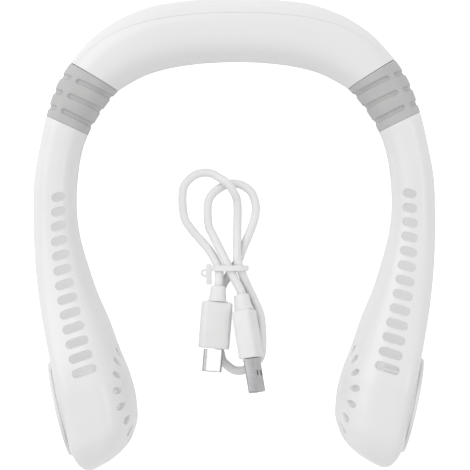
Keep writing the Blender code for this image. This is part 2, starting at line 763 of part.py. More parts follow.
# The arms
def slot_cutters(side):
    """Upright cutters for the row of outlet slots, from inside the arm to above its top."""
    path = [plan_point(*place) for place in SLOT_PATH_SHARES]
    _, length = smooth_route(path, len(path))
    count = round(length / SLOT_PITCH) + 1
    middles, _ = smooth_route(path, count)
    meshes = []
    for k, middle in enumerate(middles):
        share = k / (count - 1)
        long_side = SLOT_FIRST_LENGTH + (SLOT_LAST_LENGTH - SLOT_FIRST_LENGTH) * share
        tilt = math.radians(SLOT_FIRST_TILT_DEG + (SLOT_LAST_TILT_DEG - SLOT_FIRST_TILT_DEG) * share)
        outline = stadium(long_side, SLOT_WIDTH)
        mesh = prism(f"slot_{k}", outline, ARM_HEIGHT / 2, POD_HEIGHT + OVERRUN)
        place = Matrix.Translation((side * middle.x, middle.y, 0))
        meshes.append(moved(mesh, place @ Matrix.Rotation(-side * tilt, 4, "Z")))
    return joined("slots", meshes)


def intake_cutters(side):
    """Cutters for the ring of intake holes on the inner face, along the blower's axis."""
    meshes = []
    for k in range(INTAKE_HOLES):
        outline = stadium(INTAKE_HOLE_LENGTH, INTAKE_HOLE_WIDTH, 2)
        mesh = prism(f"hole_{k}", outline, -2 * POD_HEIGHT, -WHEEL_RADIUS)
        turn = Matrix.Rotation(side * math.radians(INTAKE_TURN_DEG) + math.tau * k / INTAKE_HOLES, 4, "Z")
        meshes.append(moved(mesh, turn @ Matrix.Translation((INTAKE_RING_RADIUS, 0, 0))))
    return joined("intake_holes", meshes)


def arm_shells(name, side, arm, white):
    for half in ("inner", "outer"):
        outer_rows = [half_row(t, side, 0, half) for t in arm_stations(ARM_END)]
        inner_rows = [half_row(t, side, WALL, half) for t in arm_stations(CAVITY_END)]
        title = f"arm_{half}_shell_{name}"
        build, outer, inner = channel(title, outer_rows, inner_rows)
        close_ring_end(build, outer[0], inner[0])
        close_blind_end(build, outer[-1], inner[-1])
        shell = add_object(title, finish_mesh(title, build), white, arm)
        frame = pod_frame(side)
        if half == "inner":
            boolean(shell, slot_cutters(side), "DIFFERENCE", arm)
            boolean(shell, intake_cutters(side), "DIFFERENCE", arm, frame)
        else:
            mouth = collar_radius() - COLLAR_WALL
            plug = prism("collar", circle(collar_radius(), ROUND_SIDES), -COLLAR_DEPTH, 0)
            boolean(shell, plug, "UNION", arm, frame)
            hole = prism("mouth", circle(mouth, ROUND_SIDES), -COLLAR_DEPTH - OVERRUN, OVERRUN)
            boolean(shell, hole, "DIFFERENCE", arm, frame)


def collar_radius():
    return COVER_RADIUS - COVER_OVERHANG


def cover_profile():
    """The cover's cross-section, from the middle of its underside round to the middle of its crown."""
    seat = CLEARANCE
    skirt_outer = collar_radius() - COLLAR_WALL - CLEARANCE
    skirt_inner = skirt_outer - SKIRT_WALL
    top = seat + COVER_RIM + COVER_CROWN
    crown = [
        (COVER_RADIUS * share, seat + COVER_RIM + COVER_CROWN * (1 - share**2))
        for share in COVER_CROWN_SHARES
    ]
    return [
        (0, top - COVER_WALL), (skirt_inner / 2, top - COVER_WALL - COVER_CROWN / 4),
        (skirt_inner, seat + COVER_RIM - COVER_WALL / 2),
        (skirt_inner, seat - SKIRT_DEPTH), (skirt_outer, seat - SKIRT_DEPTH), (skirt_outer, seat),
        (COVER_RADIUS, seat), (COVER_RADIUS, seat + COVER_RIM * COVER_EDGE_SHARE), *crown, (0, top),
    ]


def intake_cover(name, side, arm, white):
    frame = pod_frame(side)
    dome = turned(f"intake_cover_{name}", cover_profile())
    cover = add_object(f"intake_cover_{name}", dome, white, arm, frame)
    length = COVER_SLOT_OUTER_RADIUS - COVER_SLOT_INNER_RADIUS
    middle = (COVER_SLOT_OUTER_RADIUS + COVER_SLOT_INNER_RADIUS) / 2
    meshes = []
    for k in range(COVER_SLOTS):
        mesh = prism(f"cover_slot_{k}", stadium(length, COVER_SLOT_WIDTH, 2), -SKIRT_DEPTH, COVER_RADIUS)
        turn = Matrix.Rotation(math.tau * k / COVER_SLOTS, 4, "Z")
        meshes.append(moved(mesh, turn @ Matrix.Translation((middle, 0, 0))))
    boolean(cover, joined("cover_slots", meshes), "DIFFERENCE", arm, frame)


# The blower
def mount_levels():
    """The motor mount's outer and inner face, along the pod frame's Z."""
    outer_face = -SKIRT_DEPTH
    return outer_face, outer_face - MOUNT_THICKNESS


def motor_parts(name, side, arm, white, copper):
    frame = pod_frame(side)
    outer_face, inner_face = mount_levels()
    rim_outer = collar_radius() - COLLAR_WALL - CLEARANCE
    rim_inner = rim_outer - MOUNT_RIM
    ring = (
        (rim_inner, inner_face), (rim_outer, inner_face), (rim_outer, outer_face), (rim_inner, outer_face),
    )
    mount = add_object(f"motor_mount_{name}", turned(f"motor_mount_{name}", ring), white, arm, frame)
    stator_low = inner_face - CLEARANCE - STATOR_HEIGHT
    hub_bore = SHAFT_RADIUS + CLEARANCE
    hub = (
        (hub_bore, stator_low), (POST_RADIUS, stator_low), (POST_RADIUS, inner_face),
        (MOUNT_HUB_RADIUS, inner_face), (MOUNT_HUB_RADIUS, outer_face), (hub_bore, outer_face),
    )
    boolean(mount, turned("hub", hub, SMALL_SIDES), "UNION", arm, frame)
    spokes = []
    for k in range(SPOKES):
        start, end = MOUNT_HUB_RADIUS - WELD, rim_inner + WELD
        half = SPOKE_WIDTH / 2
        outline = [(start, -half), (end, -half), (end, half), (start, half)]
        mesh = prism(f"spoke_{k}", outline, inner_face + WELD, outer_face - WELD)
        spokes.append(moved(mesh, Matrix.Rotation(math.tau * k / SPOKES, 4, "Z")))
    boolean(mount, joined("spokes", spokes), "UNION", arm, frame)

    high = inner_face - CLEARANCE
    bore = POST_RADIUS + CLEARANCE
    coil = ((bore, stator_low), (STATOR_RADIUS, stator_low), (STATOR_RADIUS, high), (bore, high))
    stator = turned(f"motor_stator_{name}", coil, SMALL_SIDES)
    add_object(f"motor_stator_{name}", stator, copper, arm, frame)


def wheel_levels():
    """The wheel's outer rim and the far face of its back plate, along the pod frame's Z."""
    rim = -COLLAR_DEPTH - CLEARANCE
    return rim, rim - WHEEL_HEIGHT


def blade_outline():
    """A forward-curved blade between its inner radius and the wheel's rim, as a thin crescent."""
    stations = (0, 0.5, 1)
    edges = []
    for sign in (-1, 1):
        edge = []
        for share in stations:
            radius = BLADE_INNER_RADIUS + (WHEEL_RADIUS - WELD - BLADE_INNER_RADIUS) * share
            angle = math.radians(BLADE_SWEEP_DEG) * share**2
            offset = sign * BLADE_THICKNESS / 2
            edge.append((
                radius * math.cos(angle) - offset * math.sin(angle),
                radius * math.sin(angle) + offset * math.cos(angle),
            ))
        edges.append(edge)
    return edges[0] + edges[1][::-1]


def fan_wheel(name, body, frame, white):
    rim, back = wheel_levels()
    plate = back + WHEEL_PLATE
    magnet_outer = STATOR_RADIUS + STATOR_AIR_GAP + MAGNET_WALL
    cup_inner = magnet_outer + CLEARANCE
    cup_outer = cup_inner + ROTOR_WALL
    bore = SHAFT_RADIUS + CLEARANCE
    cup_rim = mount_levels()[1] - 2 * CLEARANCE
    profile = (
        (bore, back), (WHEEL_RADIUS, back), (WHEEL_RADIUS, plate), (cup_outer, plate),
        (cup_outer, cup_rim), (cup_inner, cup_rim), (cup_inner, plate), (bore, plate),
    )
    wheel = add_object(f"fan_wheel_{name}", turned(f"fan_wheel_{name}", profile), white, body, frame)
    blades = []
    for k in range(BLADES):
        blade = prism(f"blade_{k}", blade_outline(), plate - WELD, rim - WHEEL_RING + WELD)
        blades.append(moved(blade, Matrix.Rotation(math.tau * k / BLADES, 4, "Z")))
    boolean(wheel, joined("blades", blades), "UNION", body, frame)
    ring_inner = WHEEL_RADIUS - 2 * WHEEL_RING
    ring_low = rim - WHEEL_RING
    ring = ((ring_inner, ring_low), (WHEEL_RADIUS, ring_low), (WHEEL_RADIUS, rim), (ring_inner, rim))
    boolean(wheel, turned("rim", ring), "UNION", body, frame)
    windows = []
    for k in range(WINDOWS):
        window = prism(f"window_{k}", circle(WINDOW_RADIUS, 8), back - OVERRUN, plate + OVERRUN)
        place = Matrix.Translation(((cup_outer + BLADE_INNER_RADIUS) / 2, 0, 0))
        windows.append(moved(window, Matrix.Rotation(math.tau * k / WINDOWS, 4, "Z") @ place))
    boolean(wheel, joined("windows", windows), "DIFFERENCE", body, frame)
    return plate, cup_rim, magnet_outer


def blower(name, side, arm, white, steel, black, copper):
    motor_parts(name, side, arm, white, copper)
    frame = pod_frame(side)
    body = empty(f"wheel_{name}_axis", frame, arm)
    plate, cup_rim, magnet_outer = fan_wheel(name, body, frame, white)
    low, high = plate + CLEARANCE, cup_rim
    inner = magnet_outer - MAGNET_WALL
    ring = ((inner, low), (magnet_outer, low), (magnet_outer, high), (inner, high))
    magnet = turned(f"rotor_magnet_{name}", ring, SMALL_SIDES)
    add_object(f"rotor_magnet_{name}", magnet, black, body, frame)
    end = mount_levels()[0]
    shaft = prism(f"motor_shaft_{name}", circle(SHAFT_RADIUS, 12), wheel_levels()[1], end)
    add_object(f"motor_shaft_{name}", shaft, steel, body, frame)


# The charging lead. Its route stays as chosen by hand: x, y and z of each point.
CORD_ROUTE = (
    (-0.0068, -0.0154, 0.0059), (-0.0105, -0.0081, 0.0025), (-0.0180, 0.0010, 0.0019),
    (-0.0210, 0.0067, 0.0019), (-0.0213, 0.0168, 0.0019), (-0.0187, 0.0215, 0.0019),
    (-0.0146, 0.0240, 0.0019), (-0.0101, 0.0242, 0.0028), (-0.0063, 0.0223, 0.0049),
    (-0.0025, 0.0196, 0.0061), (-0.0001, 0.0159, 0.0052), (0.0013, 0.0112, 0.0032),
    (0.0011, -0.0009, 0.0030), (0.0009, -0.0091, 0.0067), (0.0013, -0.0128, 0.0072),
    (0.0022, -0.0154, 0.0069), (0.0051, -0.0228, 0.0044), (0.0081, -0.0290, 0.0022),
    (0.0107, -0.0366, 0.0019), (0.0109, -0.0503, 0.0019), (0.0083, -0.0548, 0.0019),
    (0.0042, -0.0576, 0.0019), (-0.0003, -0.0580, 0.0019), (-0.0038, -0.0557, 0.0019),
    (-0.0061, -0.0522, 0.0019), (-0.0077, -0.0394, 0.0019), (-0.0064, -0.0266, 0.0019),
    (-0.0048, -0.0218, 0.0019), (-0.0027, -0.0187, 0.0031), (0.0016, -0.0120, 0.0031),
    (0.0032, -0.0081, 0.0019), (0.0087, 0.0061, 0.0019), (0.0077, 0.0151, 0.0019),
    (0.0023, 0.0194, 0.0019), (-0.0041, 0.0189, 0.0019), (-0.0103, 0.0135, 0.0019),
    (-0.0109, 0.0035, 0.0019), (-0.0087, -0.0022, 0.0026), (-0.0040, -0.0120, 0.0068),
    (-0.0006, -0.0191, 0.0073),
)
TIE_Y = -0.01545             # the tie lies across the cord here
# Where each plug lies: the middle of the boot's cord end, its heading, pitch and roll in degrees
USB_C_PLACE = ((-0.0069, -0.0226, 0.0073), -95.0, 2.0, -18.0)
USB_A_PLACE = ((0.0025, -0.0263, 0.0079), -81.3, 5.5, -76.0)


def plug_frame(place):
    """A plug's frame: +Z runs from the boot to the tip, X across its wide face."""
    origin, heading, pitch, roll = place
    frame = Matrix.Translation(origin) @ Matrix.Rotation(math.radians(heading), 4, "Z")
    frame = frame @ Matrix.Rotation(math.radians(90 - pitch), 4, "Y")
    return frame @ Matrix.Rotation(math.radians(90 + roll), 4, "Z")


def smooth_route(points, count):
    """Points spaced evenly along a smooth curve through the route."""
    ends = [2 * points[0] - points[1], *points, 2 * points[-1] - points[-2]]
    dense = []
    for a, b, c, d in zip(ends, ends[1:], ends[2:], ends[3:]):
        for i in range(16):
            f = i / 16
            dense.append(
                b + ((c - a) * f + (2 * a - 5 * b + 4 * c - d) * f**2 + (3 * b - a - 3 * c + d) * f**3) / 2
            )
    dense.append(points[-1])
    steps = [0.0]
    for a, b in zip(dense, dense[1:]):
        steps.append(steps[-1] + (b - a).length)
    even = []
    for i in range(count):
        target = steps[-1] * i / (count - 1)
        k = min(int(np.searchsorted(steps, target, side="right")), len(steps) - 1)
        f = (target - steps[k - 1]) / (steps[k] - steps[k - 1])
        even.append(dense[k - 1].lerp(dense[k], f))
    return even, steps[-1]


def cord_route():
    """The route from the USB-C boot to the USB-A boot, straight for a short way out of each."""
    ends = []
    for place in (USB_C_PLACE, USB_A_PLACE):
        frame = plug_frame(place)
        ends.append([frame @ Vector((0, 0, -back)) for back in (CLEARANCE - BOOT_RECESS, CORD_DIAMETER / 2)])
    start, finish = ends
    return [*start, *(Vector(point) for point in CORD_ROUTE), *reversed(finish)]


def least_gap(points, diameter):
    """The least gap between stretches of the cord that aren't next to each other."""
    coordinates = np.array(points)
    spacing = np.linalg.norm(coordinates[1] - coordinates[0])
    apart = int(math.ceil(math.pi * diameter / spacing)) + 1
    distances = np.linalg.norm(coordinates[:, None] - coordinates[None], axis=2)
    far = np.abs(np.subtract.outer(np.arange(len(points)), np.arange(len(points)))) >= apart
    return float(distances[far].min() - diameter)


def cord(body, white):
    fine, length = smooth_route(cord_route(), CORD_POINTS * 8)
    points, _ = smooth_route(cord_route(), CORD_POINTS)
    print("cord length", round(length, 4), "least gap to itself", round(least_gap(fine, CORD_DIAMETER), 5))
    curve = bpy.data.curves.new("charging_cord", "CURVE")
    curve.dimensions = "3D"
    curve.bevel_depth = CORD_DIAMETER / 2
    curve.bevel_resolution = CORD_BEVEL_RESOLUTION
    curve.use_fill_caps = True
    spline = curve.splines.new("POLY")
    spline.points.add(len(points) - 1)
    for target, point in zip(spline.points, points):
        target.co = (*point, 1)
    curve.materials.append(white)
    thing = bpy.data.objects.new("charging_cord", curve)
    bpy.context.collection.objects.link(thing)
    thing.parent = body
    thing.matrix_parent_inverse = body.matrix_world.inverted()


def tie_outline(margin, sides=8):
    """The outline round the cord's four strands where the tie holds them, in X and Z."""
    fine, _ = smooth_route(cord_route(), CORD_POINTS * 8)
    near = TIE_WIDTH / 2 + OVERRUN
    strands = [point for point in fine[::3] if abs(point.y - TIE_Y) < near]
    radius = (CORD_DIAMETER / 2 + margin) / math.cos(math.pi / sides)
    points = [
        (strand.x + x, strand.z + z)
        for strand in strands
        for x, z in circle(radius, sides)
    ]
    return convex_outline(points)


def convex_outline(points):
    ordered = sorted(set(points))

    def turn(a, b, c):
        return (b[0] - a[0]) * (c[1] - a[1]) - (b[1] - a[1]) * (c[0] - a[0])

    halves = []
    for run in (ordered, ordered[::-1]):
        half = []
        for point in run:
            while len(half) > 1 and turn(half[-2], half[-1], point) <= 0:
                half.pop()
            half.append(point)
        halves.append(half[:-1])
    return halves[0] + halves[1]


def cord_tie(body, white):
    frame = Matrix.Translation((0, TIE_Y, 0)) @ Matrix.Rotation(math.radians(90), 4, "X")
    half = TIE_WIDTH / 2
    wide = tie_outline(CLEARANCE + TIE_THICKNESS)
    tie = add_object("cord_tie", prism("cord_tie", wide, -half, half), white, body, frame)
    left = min(x for x, _ in wide)
    height = min(wide)[1]
    tail_x = left + TIE_THICKNESS - TIE_WIDTH / 2
    tail = Matrix.Translation((tail_x, TIE_Y - TIE_TAIL_LENGTH / 2 + TIE_TAIL_START, height))
    outline = rounded_rectangle(TIE_WIDTH, TIE_TAIL_LENGTH, TIE_WIDTH / 4)
    boolean(tie, prism("tail", outline, 0, TIE_THICKNESS), "UNION", body, tail)
    ring = Matrix.Translation((tail_x - TIE_RING_RADIUS, TIE_Y - TIE_RING_RADIUS, height))
    low, high = -WELD, TIE_THICKNESS + WELD
    bead = (
        (TIE_HOLE_RADIUS, low), (TIE_RING_RADIUS, low), (TIE_RING_RADIUS, high), (TIE_HOLE_RADIUS, high),
    )
    boolean(tie, turned("ring", bead, SMALL_SIDES), "UNION", body, ring)
    room = prism("room", tie_outline(CLEARANCE), -half - OVERRUN, half + OVERRUN)
    boolean(tie, room, "DIFFERENCE", body, frame)


def plug(title, place, housing, shell, shell_wall, body, white, steel):
    """A moulded housing with its boot and a metal shell. Returns its frame and the shell's low end."""
    frame = plug_frame(place)
    width, depth, length = housing
    start, end = BOOT_LENGTH, BOOT_LENGTH + length
    corner = min(HOUSING_CORNER, depth / 2 - WELD)
    rings = []
    stations = (
        (HOUSING_BACK_SHARE, start), (1, start + corner / 2),
        (1, end - corner / 2), (HOUSING_FRONT_SHARE, end),
    )
    for share, at in stations:
        outline = rounded_rectangle(width * share, depth * share, corner * share)
        rings.append([(x, y, at) for x, y in outline])
    piece = add_object(f"{title}_housing", loft(f"{title}_housing", rings), white, body, frame)
    cone = ((0, 0), (BOOT_TIP_RADIUS, 0), (BOOT_RADIUS, start + WELD), (0, start + WELD))
    boolean(piece, turned("boot", cone, SMALL_SIDES), "UNION", body, frame)
    recess = prism("recess", circle(CORD_DIAMETER / 2 + 2 * CLEARANCE), -OVERRUN, BOOT_RECESS)
    boolean(piece, recess, "DIFFERENCE", body, frame)
    shell_width, shell_depth, shell_length = shell
    low = end + CLEARANCE
    mouth = low + shell_length
    flat = shell_depth / 2 - shell_wall if title == "usb_c" else shell_wall
    outside = rounded_rectangle(shell_width, shell_depth, flat + shell_wall / 2)
    can = add_object(f"{title}_shell", prism(f"{title}_shell", outside, low, mouth), steel, body, frame)
    inside = rounded_rectangle(shell_width - 2 * shell_wall, shell_depth - 2 * shell_wall, flat)
    boolean(can, prism("mouth", inside, low + OVERRUN, mouth + OVERRUN), "DIFFERENCE", body, frame)
    return frame, low


def charging_lead(white, steel, black):
    body = empty("charging_lead_body", Matrix.Translation((0, TIE_Y, 0)))
    cord(body, white)
    cord_tie(body, white)
    plug("usb_c", USB_C_PLACE, USB_C_HOUSING, USB_C_SHELL, USB_C_SHELL_WALL, body, white, steel)
    frame, low = plug(
        "usb_a", USB_A_PLACE, USB_A_HOUSING, USB_A_SHELL, USB_A_SHELL_WALL, body, white, steel,
    )
    width, depth, length = USB_A_TONGUE
    lift = USB_A_SHELL[1] / 2 - USB_A_SHELL_WALL - CLEARANCE - depth / 2
    base = low + OVERRUN + CLEARANCE
    tongue = prism("usb_a_tongue", rounded_rectangle(width, depth, CLEARANCE, 1), base, base + length)
    add_object("usb_a_tongue", tongue, black, body, frame @ Matrix.Translation((0, lift, 0)))


def build_fan():
    clear_scene()
    white = plastic("white_plastic", (0.83, 0.83, 0.83), 0.35)
    grey = plastic("grey_button", (0.33, 0.33, 0.34), 0.5)
    silicone = plastic("grey_silicone", (0.45, 0.45, 0.45), 0.6)
    steel = plastic("plated_steel", (0.72, 0.72, 0.74), 0.25, 1.0)
    copper = plastic("copper_winding", (0.72, 0.33, 0.16), 0.4, 1.0)
    black = plastic("black_plastic", (0.03, 0.03, 0.03), 0.5)
    green = plastic("circuit_board", (0.03, 0.2, 0.08), 0.45)
    wrap = plastic("cell_wrap", (0.08, 0.2, 0.45), 0.4)
    cord_white = plastic("cord_sheath", (0.8, 0.8, 0.8), 0.45)

    band = empty("neck_band_body", Matrix.Identity(4))
    arms = {
        name: empty(f"arm_{name}_pivot", Matrix.Translation(pivot_point(side)), band)
        for name, side in SIDES.items()
    }
    band_shells(band, white)
    button_body = empty("power_button_slide", back_frame(BUTTON_LIFT), band)
    power_button(button_body, grey)
    electronics(band, green, steel, black)
    battery(band, wrap, white)
    hinges(band, arms, white, steel)
    flex_sleeves(band, silicone)
    for name, side in SIDES.items():
        arm_shells(name, side, arms[name], white)
        intake_cover(name, side, arms[name], white)
        blower(name, side, arms[name], white, steel, black, copper)
    charging_lead(cord_white, steel, black)


build_fan()
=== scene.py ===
# %% [markdown]
# A neck fan lies on a white table. A curved band goes behind the neck, two arms come forward over
# the collar bones, and a round blower in the pod at the end of each arm pushes air up through a
# row of slots. A short charging lead lies folded inside the U.
#
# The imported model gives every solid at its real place. This lesson dresses those solids: it
# rebuilds the ones whose surface shows with finer meshes, gives all of them their materials, and
# lights them like a catalogue picture. Everything is in metres, +Z up.

# %% The frame and the tools
import math

import bmesh
import bpy
import numpy as np
from mathutils import Matrix, Vector
from mathutils.bvhtree import BVHTree


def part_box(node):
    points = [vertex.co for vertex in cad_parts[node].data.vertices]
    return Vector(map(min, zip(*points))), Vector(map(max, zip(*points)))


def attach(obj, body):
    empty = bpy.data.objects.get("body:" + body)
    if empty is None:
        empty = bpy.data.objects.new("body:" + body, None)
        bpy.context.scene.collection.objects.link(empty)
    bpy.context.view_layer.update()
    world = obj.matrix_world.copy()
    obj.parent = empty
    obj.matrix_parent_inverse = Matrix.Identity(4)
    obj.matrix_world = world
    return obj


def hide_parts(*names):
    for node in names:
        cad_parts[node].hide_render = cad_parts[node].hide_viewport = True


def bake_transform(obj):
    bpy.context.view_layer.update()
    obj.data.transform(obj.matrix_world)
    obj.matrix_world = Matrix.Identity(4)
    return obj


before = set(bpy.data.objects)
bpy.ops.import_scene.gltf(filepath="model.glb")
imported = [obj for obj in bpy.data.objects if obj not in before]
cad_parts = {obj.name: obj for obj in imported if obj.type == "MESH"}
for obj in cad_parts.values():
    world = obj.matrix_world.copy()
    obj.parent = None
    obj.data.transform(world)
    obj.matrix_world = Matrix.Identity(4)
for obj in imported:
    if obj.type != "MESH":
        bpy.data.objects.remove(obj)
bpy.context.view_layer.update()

# %% [markdown]
# The picture was taken from straight above, from far away, so the fan shows hardly any of its
# sides. A long lens almost a metre up gives the same flat perspective. The picture is square, and
# the distance from the camera and the width of view fix the lens. The fan lies a little turned in
# the picture, and a small roll of the camera does the same without moving the model.

# %% The camera
CAMERA_HEIGHT = 0.95
VIEW_WIDTH = 0.1927          # what the picture's width covers at the arms' middle height
VIEW_LEVEL = 0.015
SENSOR = 36.0
VIEW_CENTRE = (0.0002, -0.0017)
CAMERA_ROLL_DEG = -0.6


def add_object(name, data):
    """An object with this data, linked into the scene."""
    thing = bpy.data.objects.new(name, data)
    bpy.context.collection.objects.link(thing)
    return thing


def add_camera():
    lens = bpy.data.cameras.new("camera")
    lens.sensor_width = SENSOR
    lens.lens = SENSOR * (CAMERA_HEIGHT - VIEW_LEVEL) / VIEW_WIDTH
    lens.clip_end = 10 * CAMERA_HEIGHT
    camera = add_object("camera", lens)
    camera.location = (*VIEW_CENTRE, CAMERA_HEIGHT)
    camera.rotation_euler = (0, 0, math.radians(CAMERA_ROLL_DEG))
    bpy.context.scene.camera = camera
    print("lens in mm:", round(lens.lens, 1))


add_camera()

# %% [markdown]
# The lead is a limp white cord about 0.3 m long, folded into loops and held by a tie. It could be
# found by a simulation, but its way over and under itself is known from the picture, so its route
# is a list of given points, each with its height: a strand that lies on the table is half
# a diameter up, and one that crosses over another is a diameter higher. One smooth curve runs
# through the points and straight out of both plugs.

# %% The cord's route and the two plugs' places
CLEARANCE = 0.0003
CORD_DIAMETER = 0.0036
BOOT_RECESS = 0.0016
CORD_ROUTE = (
    (-0.0068, -0.0154, 0.0059), (-0.0105, -0.0081, 0.0025), (-0.0180, 0.0010, 0.0019),
    (-0.0210, 0.0067, 0.0019), (-0.0213, 0.0168, 0.0019), (-0.0187, 0.0215, 0.0019),
    (-0.0146, 0.0240, 0.0019), (-0.0101, 0.0242, 0.0028), (-0.0063, 0.0223, 0.0049),
    (-0.0025, 0.0196, 0.0061), (-0.0001, 0.0159, 0.0052), (0.0013, 0.0112, 0.0032),
    (0.0011, -0.0009, 0.0030), (0.0009, -0.0091, 0.0067), (0.0013, -0.0128, 0.0072),
    (0.0022, -0.0154, 0.0069), (0.0051, -0.0228, 0.0044), (0.0081, -0.0290, 0.0022),
    (0.0107, -0.0366, 0.0019), (0.0109, -0.0503, 0.0019), (0.0083, -0.0548, 0.0019),
    (0.0042, -0.0576, 0.0019), (-0.0003, -0.0580, 0.0019), (-0.0038, -0.0557, 0.0019),
    (-0.0061, -0.0522, 0.0019), (-0.0077, -0.0394, 0.0019), (-0.0064, -0.0266, 0.0019),
    (-0.0048, -0.0218, 0.0019), (-0.0027, -0.0187, 0.0031), (0.0016, -0.0120, 0.0031),
    (0.0032, -0.0081, 0.0019), (0.0087, 0.0061, 0.0019), (0.0077, 0.0151, 0.0019),
    (0.0023, 0.0194, 0.0019), (-0.0041, 0.0189, 0.0019), (-0.0103, 0.0135, 0.0019),
    (-0.0109, 0.0035, 0.0019), (-0.0087, -0.0022, 0.0026), (-0.0040, -0.0120, 0.0068),
    (-0.0006, -0.0191, 0.0073),
)
# Where each plug lies: the middle of the boot's cord end, its heading, pitch and roll in degrees
USB_C_PLACE = ((-0.0069, -0.0226, 0.0073), -95.0, 2.0, -18.0)
USB_A_PLACE = ((0.0025, -0.0263, 0.0079), -81.3, 5.5, -76.0)


def plug_frame(place):
    """A plug's frame: +Z runs from the boot to the tip, X across its wide face."""
    origin, heading, pitch, roll = place
    turned_to = Matrix.Translation(origin) @ Matrix.Rotation(math.radians(heading), 4, "Z")
    turned_to = turned_to @ Matrix.Rotation(math.radians(90 - pitch), 4, "Y")
    return turned_to @ Matrix.Rotation(math.radians(90 + roll), 4, "Z")


def between(a, b, c, d, f):
    """A point between b and c on a smooth curve that also minds their neighbours a and d."""
    return b + ((c - a) * f + (2 * a - 5 * b + 4 * c - d) * f**2 + (3 * b - a - 3 * c + d) * f**3) / 2


def cord_points(steps=10):
    """Closely spaced points along the whole cord, from the USB-C boot to the USB-A boot."""
    ends = []
    for place in (USB_C_PLACE, USB_A_PLACE):
        inside = plug_frame(place)
        backs = (CLEARANCE - BOOT_RECESS, CORD_DIAMETER / 2)
        ends.append([inside @ Vector((0, 0, -back)) for back in backs])
    route = [*ends[0], *(Vector(point) for point in CORD_ROUTE), *reversed(ends[1])]
    route = [2 * route[0] - route[1], *route, 2 * route[-1] - route[-2]]
    points = []
    for a, b, c, d in zip(route, route[1:], route[2:], route[3:]):
        points += [between(a, b, c, d, i / steps) for i in range(steps)]
    return [*points, route[-2]]


CORD_POINTS = cord_points()

# %% [markdown]
# A cord is extruded through a round die, so one curve with a round bevel is just how it is made.
# Its section gets many more sides than the solid's eight.

# %% The cord


def add_cord():
    curve = bpy.data.curves.new("charging_cord_sheath", "CURVE")
    curve.dimensions = "3D"
    curve.bevel_depth = 1.0
    curve.bevel_resolution = 8
    curve.use_fill_caps = True
    spline = curve.splines.new("POLY")
    spline.points.add(len(CORD_POINTS) - 1)
    for target, point in zip(spline.points, CORD_POINTS):
        target.co = (*point, 1)
        target.radius = CORD_DIAMETER / 2
    spline.use_smooth = True
    cord = add_object("charging_cord_sheath", curve)
    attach(cord, "charging_lead")
    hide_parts("charging_cord")
    return cord


cord = add_cord()

# %% [markdown]
# Several finishes share small effects: the fine pebble left by a moulding tool, the faint
# unevenness of tone that handling leaves, and the streaks of drawn or plated metal. Each effect is
# a node group with named inputs, so a material only says how strong and how fine it wants it.

# %% A helper for node groups


def node_group(title, inputs, outputs):
    """A shader group with float inputs {name: default} and outputs {name: socket type}."""
    group = bpy.data.node_groups.new(title, "ShaderNodeTree")
    for name, value in inputs.items():
        colour = isinstance(value, tuple)
        kind = "NodeSocketColor" if colour else "NodeSocketFloat"
        socket = group.interface.new_socket(name=name, in_out="INPUT", socket_type=kind)
        socket.default_value = value
    for name, kind in outputs.items():
        group.interface.new_socket(name=name, in_out="OUTPUT", socket_type=kind)
    nodes = group.nodes
    return group, nodes, group.links.new, nodes.new("NodeGroupInput"), nodes.new("NodeGroupOutput")


def set_values(node, values):
    for name, value in values.items():
        node.inputs[name].default_value = value


def feed(link, socket, value):
    """Gives a socket a number, a colour or what comes out of another socket."""
    if isinstance(value, (int, float, tuple)):
        socket.default_value = value
    else:
        link(value, socket)


def maths(nodes, link, operation, a, b):
    """A maths node on two values, each a socket or a number."""
    node = nodes.new("ShaderNodeMath")
    node.operation = operation
    for socket, value in zip(node.inputs, (a, b)):
        feed(link, socket, value)
    return node.outputs[0]


def noise(nodes, link, place, scale, detail=2.0):
    node = nodes.new("ShaderNodeTexNoise")
    link(place, node.inputs["Vector"])
    feed(link, node.inputs["Scale"], scale)
    node.inputs["Detail"].default_value = detail
    return node.outputs["Fac"]


def mixed(nodes, link, factor, a, b):
    """A mix of two colours, each a socket or a colour."""
    node = nodes.new("ShaderNodeMix")
    node.data_type = "RGBA"
    for name, value in (("Factor", factor), ("A", a), ("B", b)):
        feed(link, node.inputs[name], value)
    return node.outputs["Result"]


def stretched(nodes, link, value, low, high):
    """A value stretched so that low becomes 0 and high becomes 1."""
    node = nodes.new("ShaderNodeMapRange")
    for name, part in (("Value", value), ("From Min", low), ("From Max", high)):
        feed(link, node.inputs[name], part)
    return node.outputs["Result"]


def spread_roughness(nodes, link, given, result, pattern):
    """Sends on the given roughness, a little more or less of it where the pattern is high or low."""
    centred = maths(nodes, link, "SUBTRACT", pattern, 0.5)
    spread = maths(nodes, link, "MULTIPLY", centred, given.outputs["Roughness Spread"])
    link(maths(nodes, link, "ADD", spread, given.outputs["Roughness"]), result.inputs["Roughness"])


# %% [markdown]
# A moulded shell copies its steel tool, which is polished but never perfect. Seen close it has a
# fine orange peel, and its gloss changes a little from place to place. Two noises do this: a fine
# one for the height and a broad one for the roughness.

# %% The moulded skin group
BROAD_TO_FINE = 14.0


def moulded_skin_group():
    inputs = {"Peel Scale": 900.0, "Roughness": 0.3, "Roughness Spread": 0.1}
    outputs = {"Height": "NodeSocketFloat", "Roughness": "NodeSocketFloat"}
    group, nodes, link, given, result = node_group("Moulded skin", inputs, outputs)
    place = nodes.new("ShaderNodeTexCoord").outputs["Object"]
    fine = noise(nodes, link, place, given.outputs["Peel Scale"])
    link(fine, result.inputs["Height"])
    broad_scale = maths(nodes, link, "DIVIDE", given.outputs["Peel Scale"], BROAD_TO_FINE)
    spread_roughness(nodes, link, given, result, noise(nodes, link, place, broad_scale, 4.0))
    return group


MOULDED_SKIN = moulded_skin_group()
print("group:", MOULDED_SKIN.name)

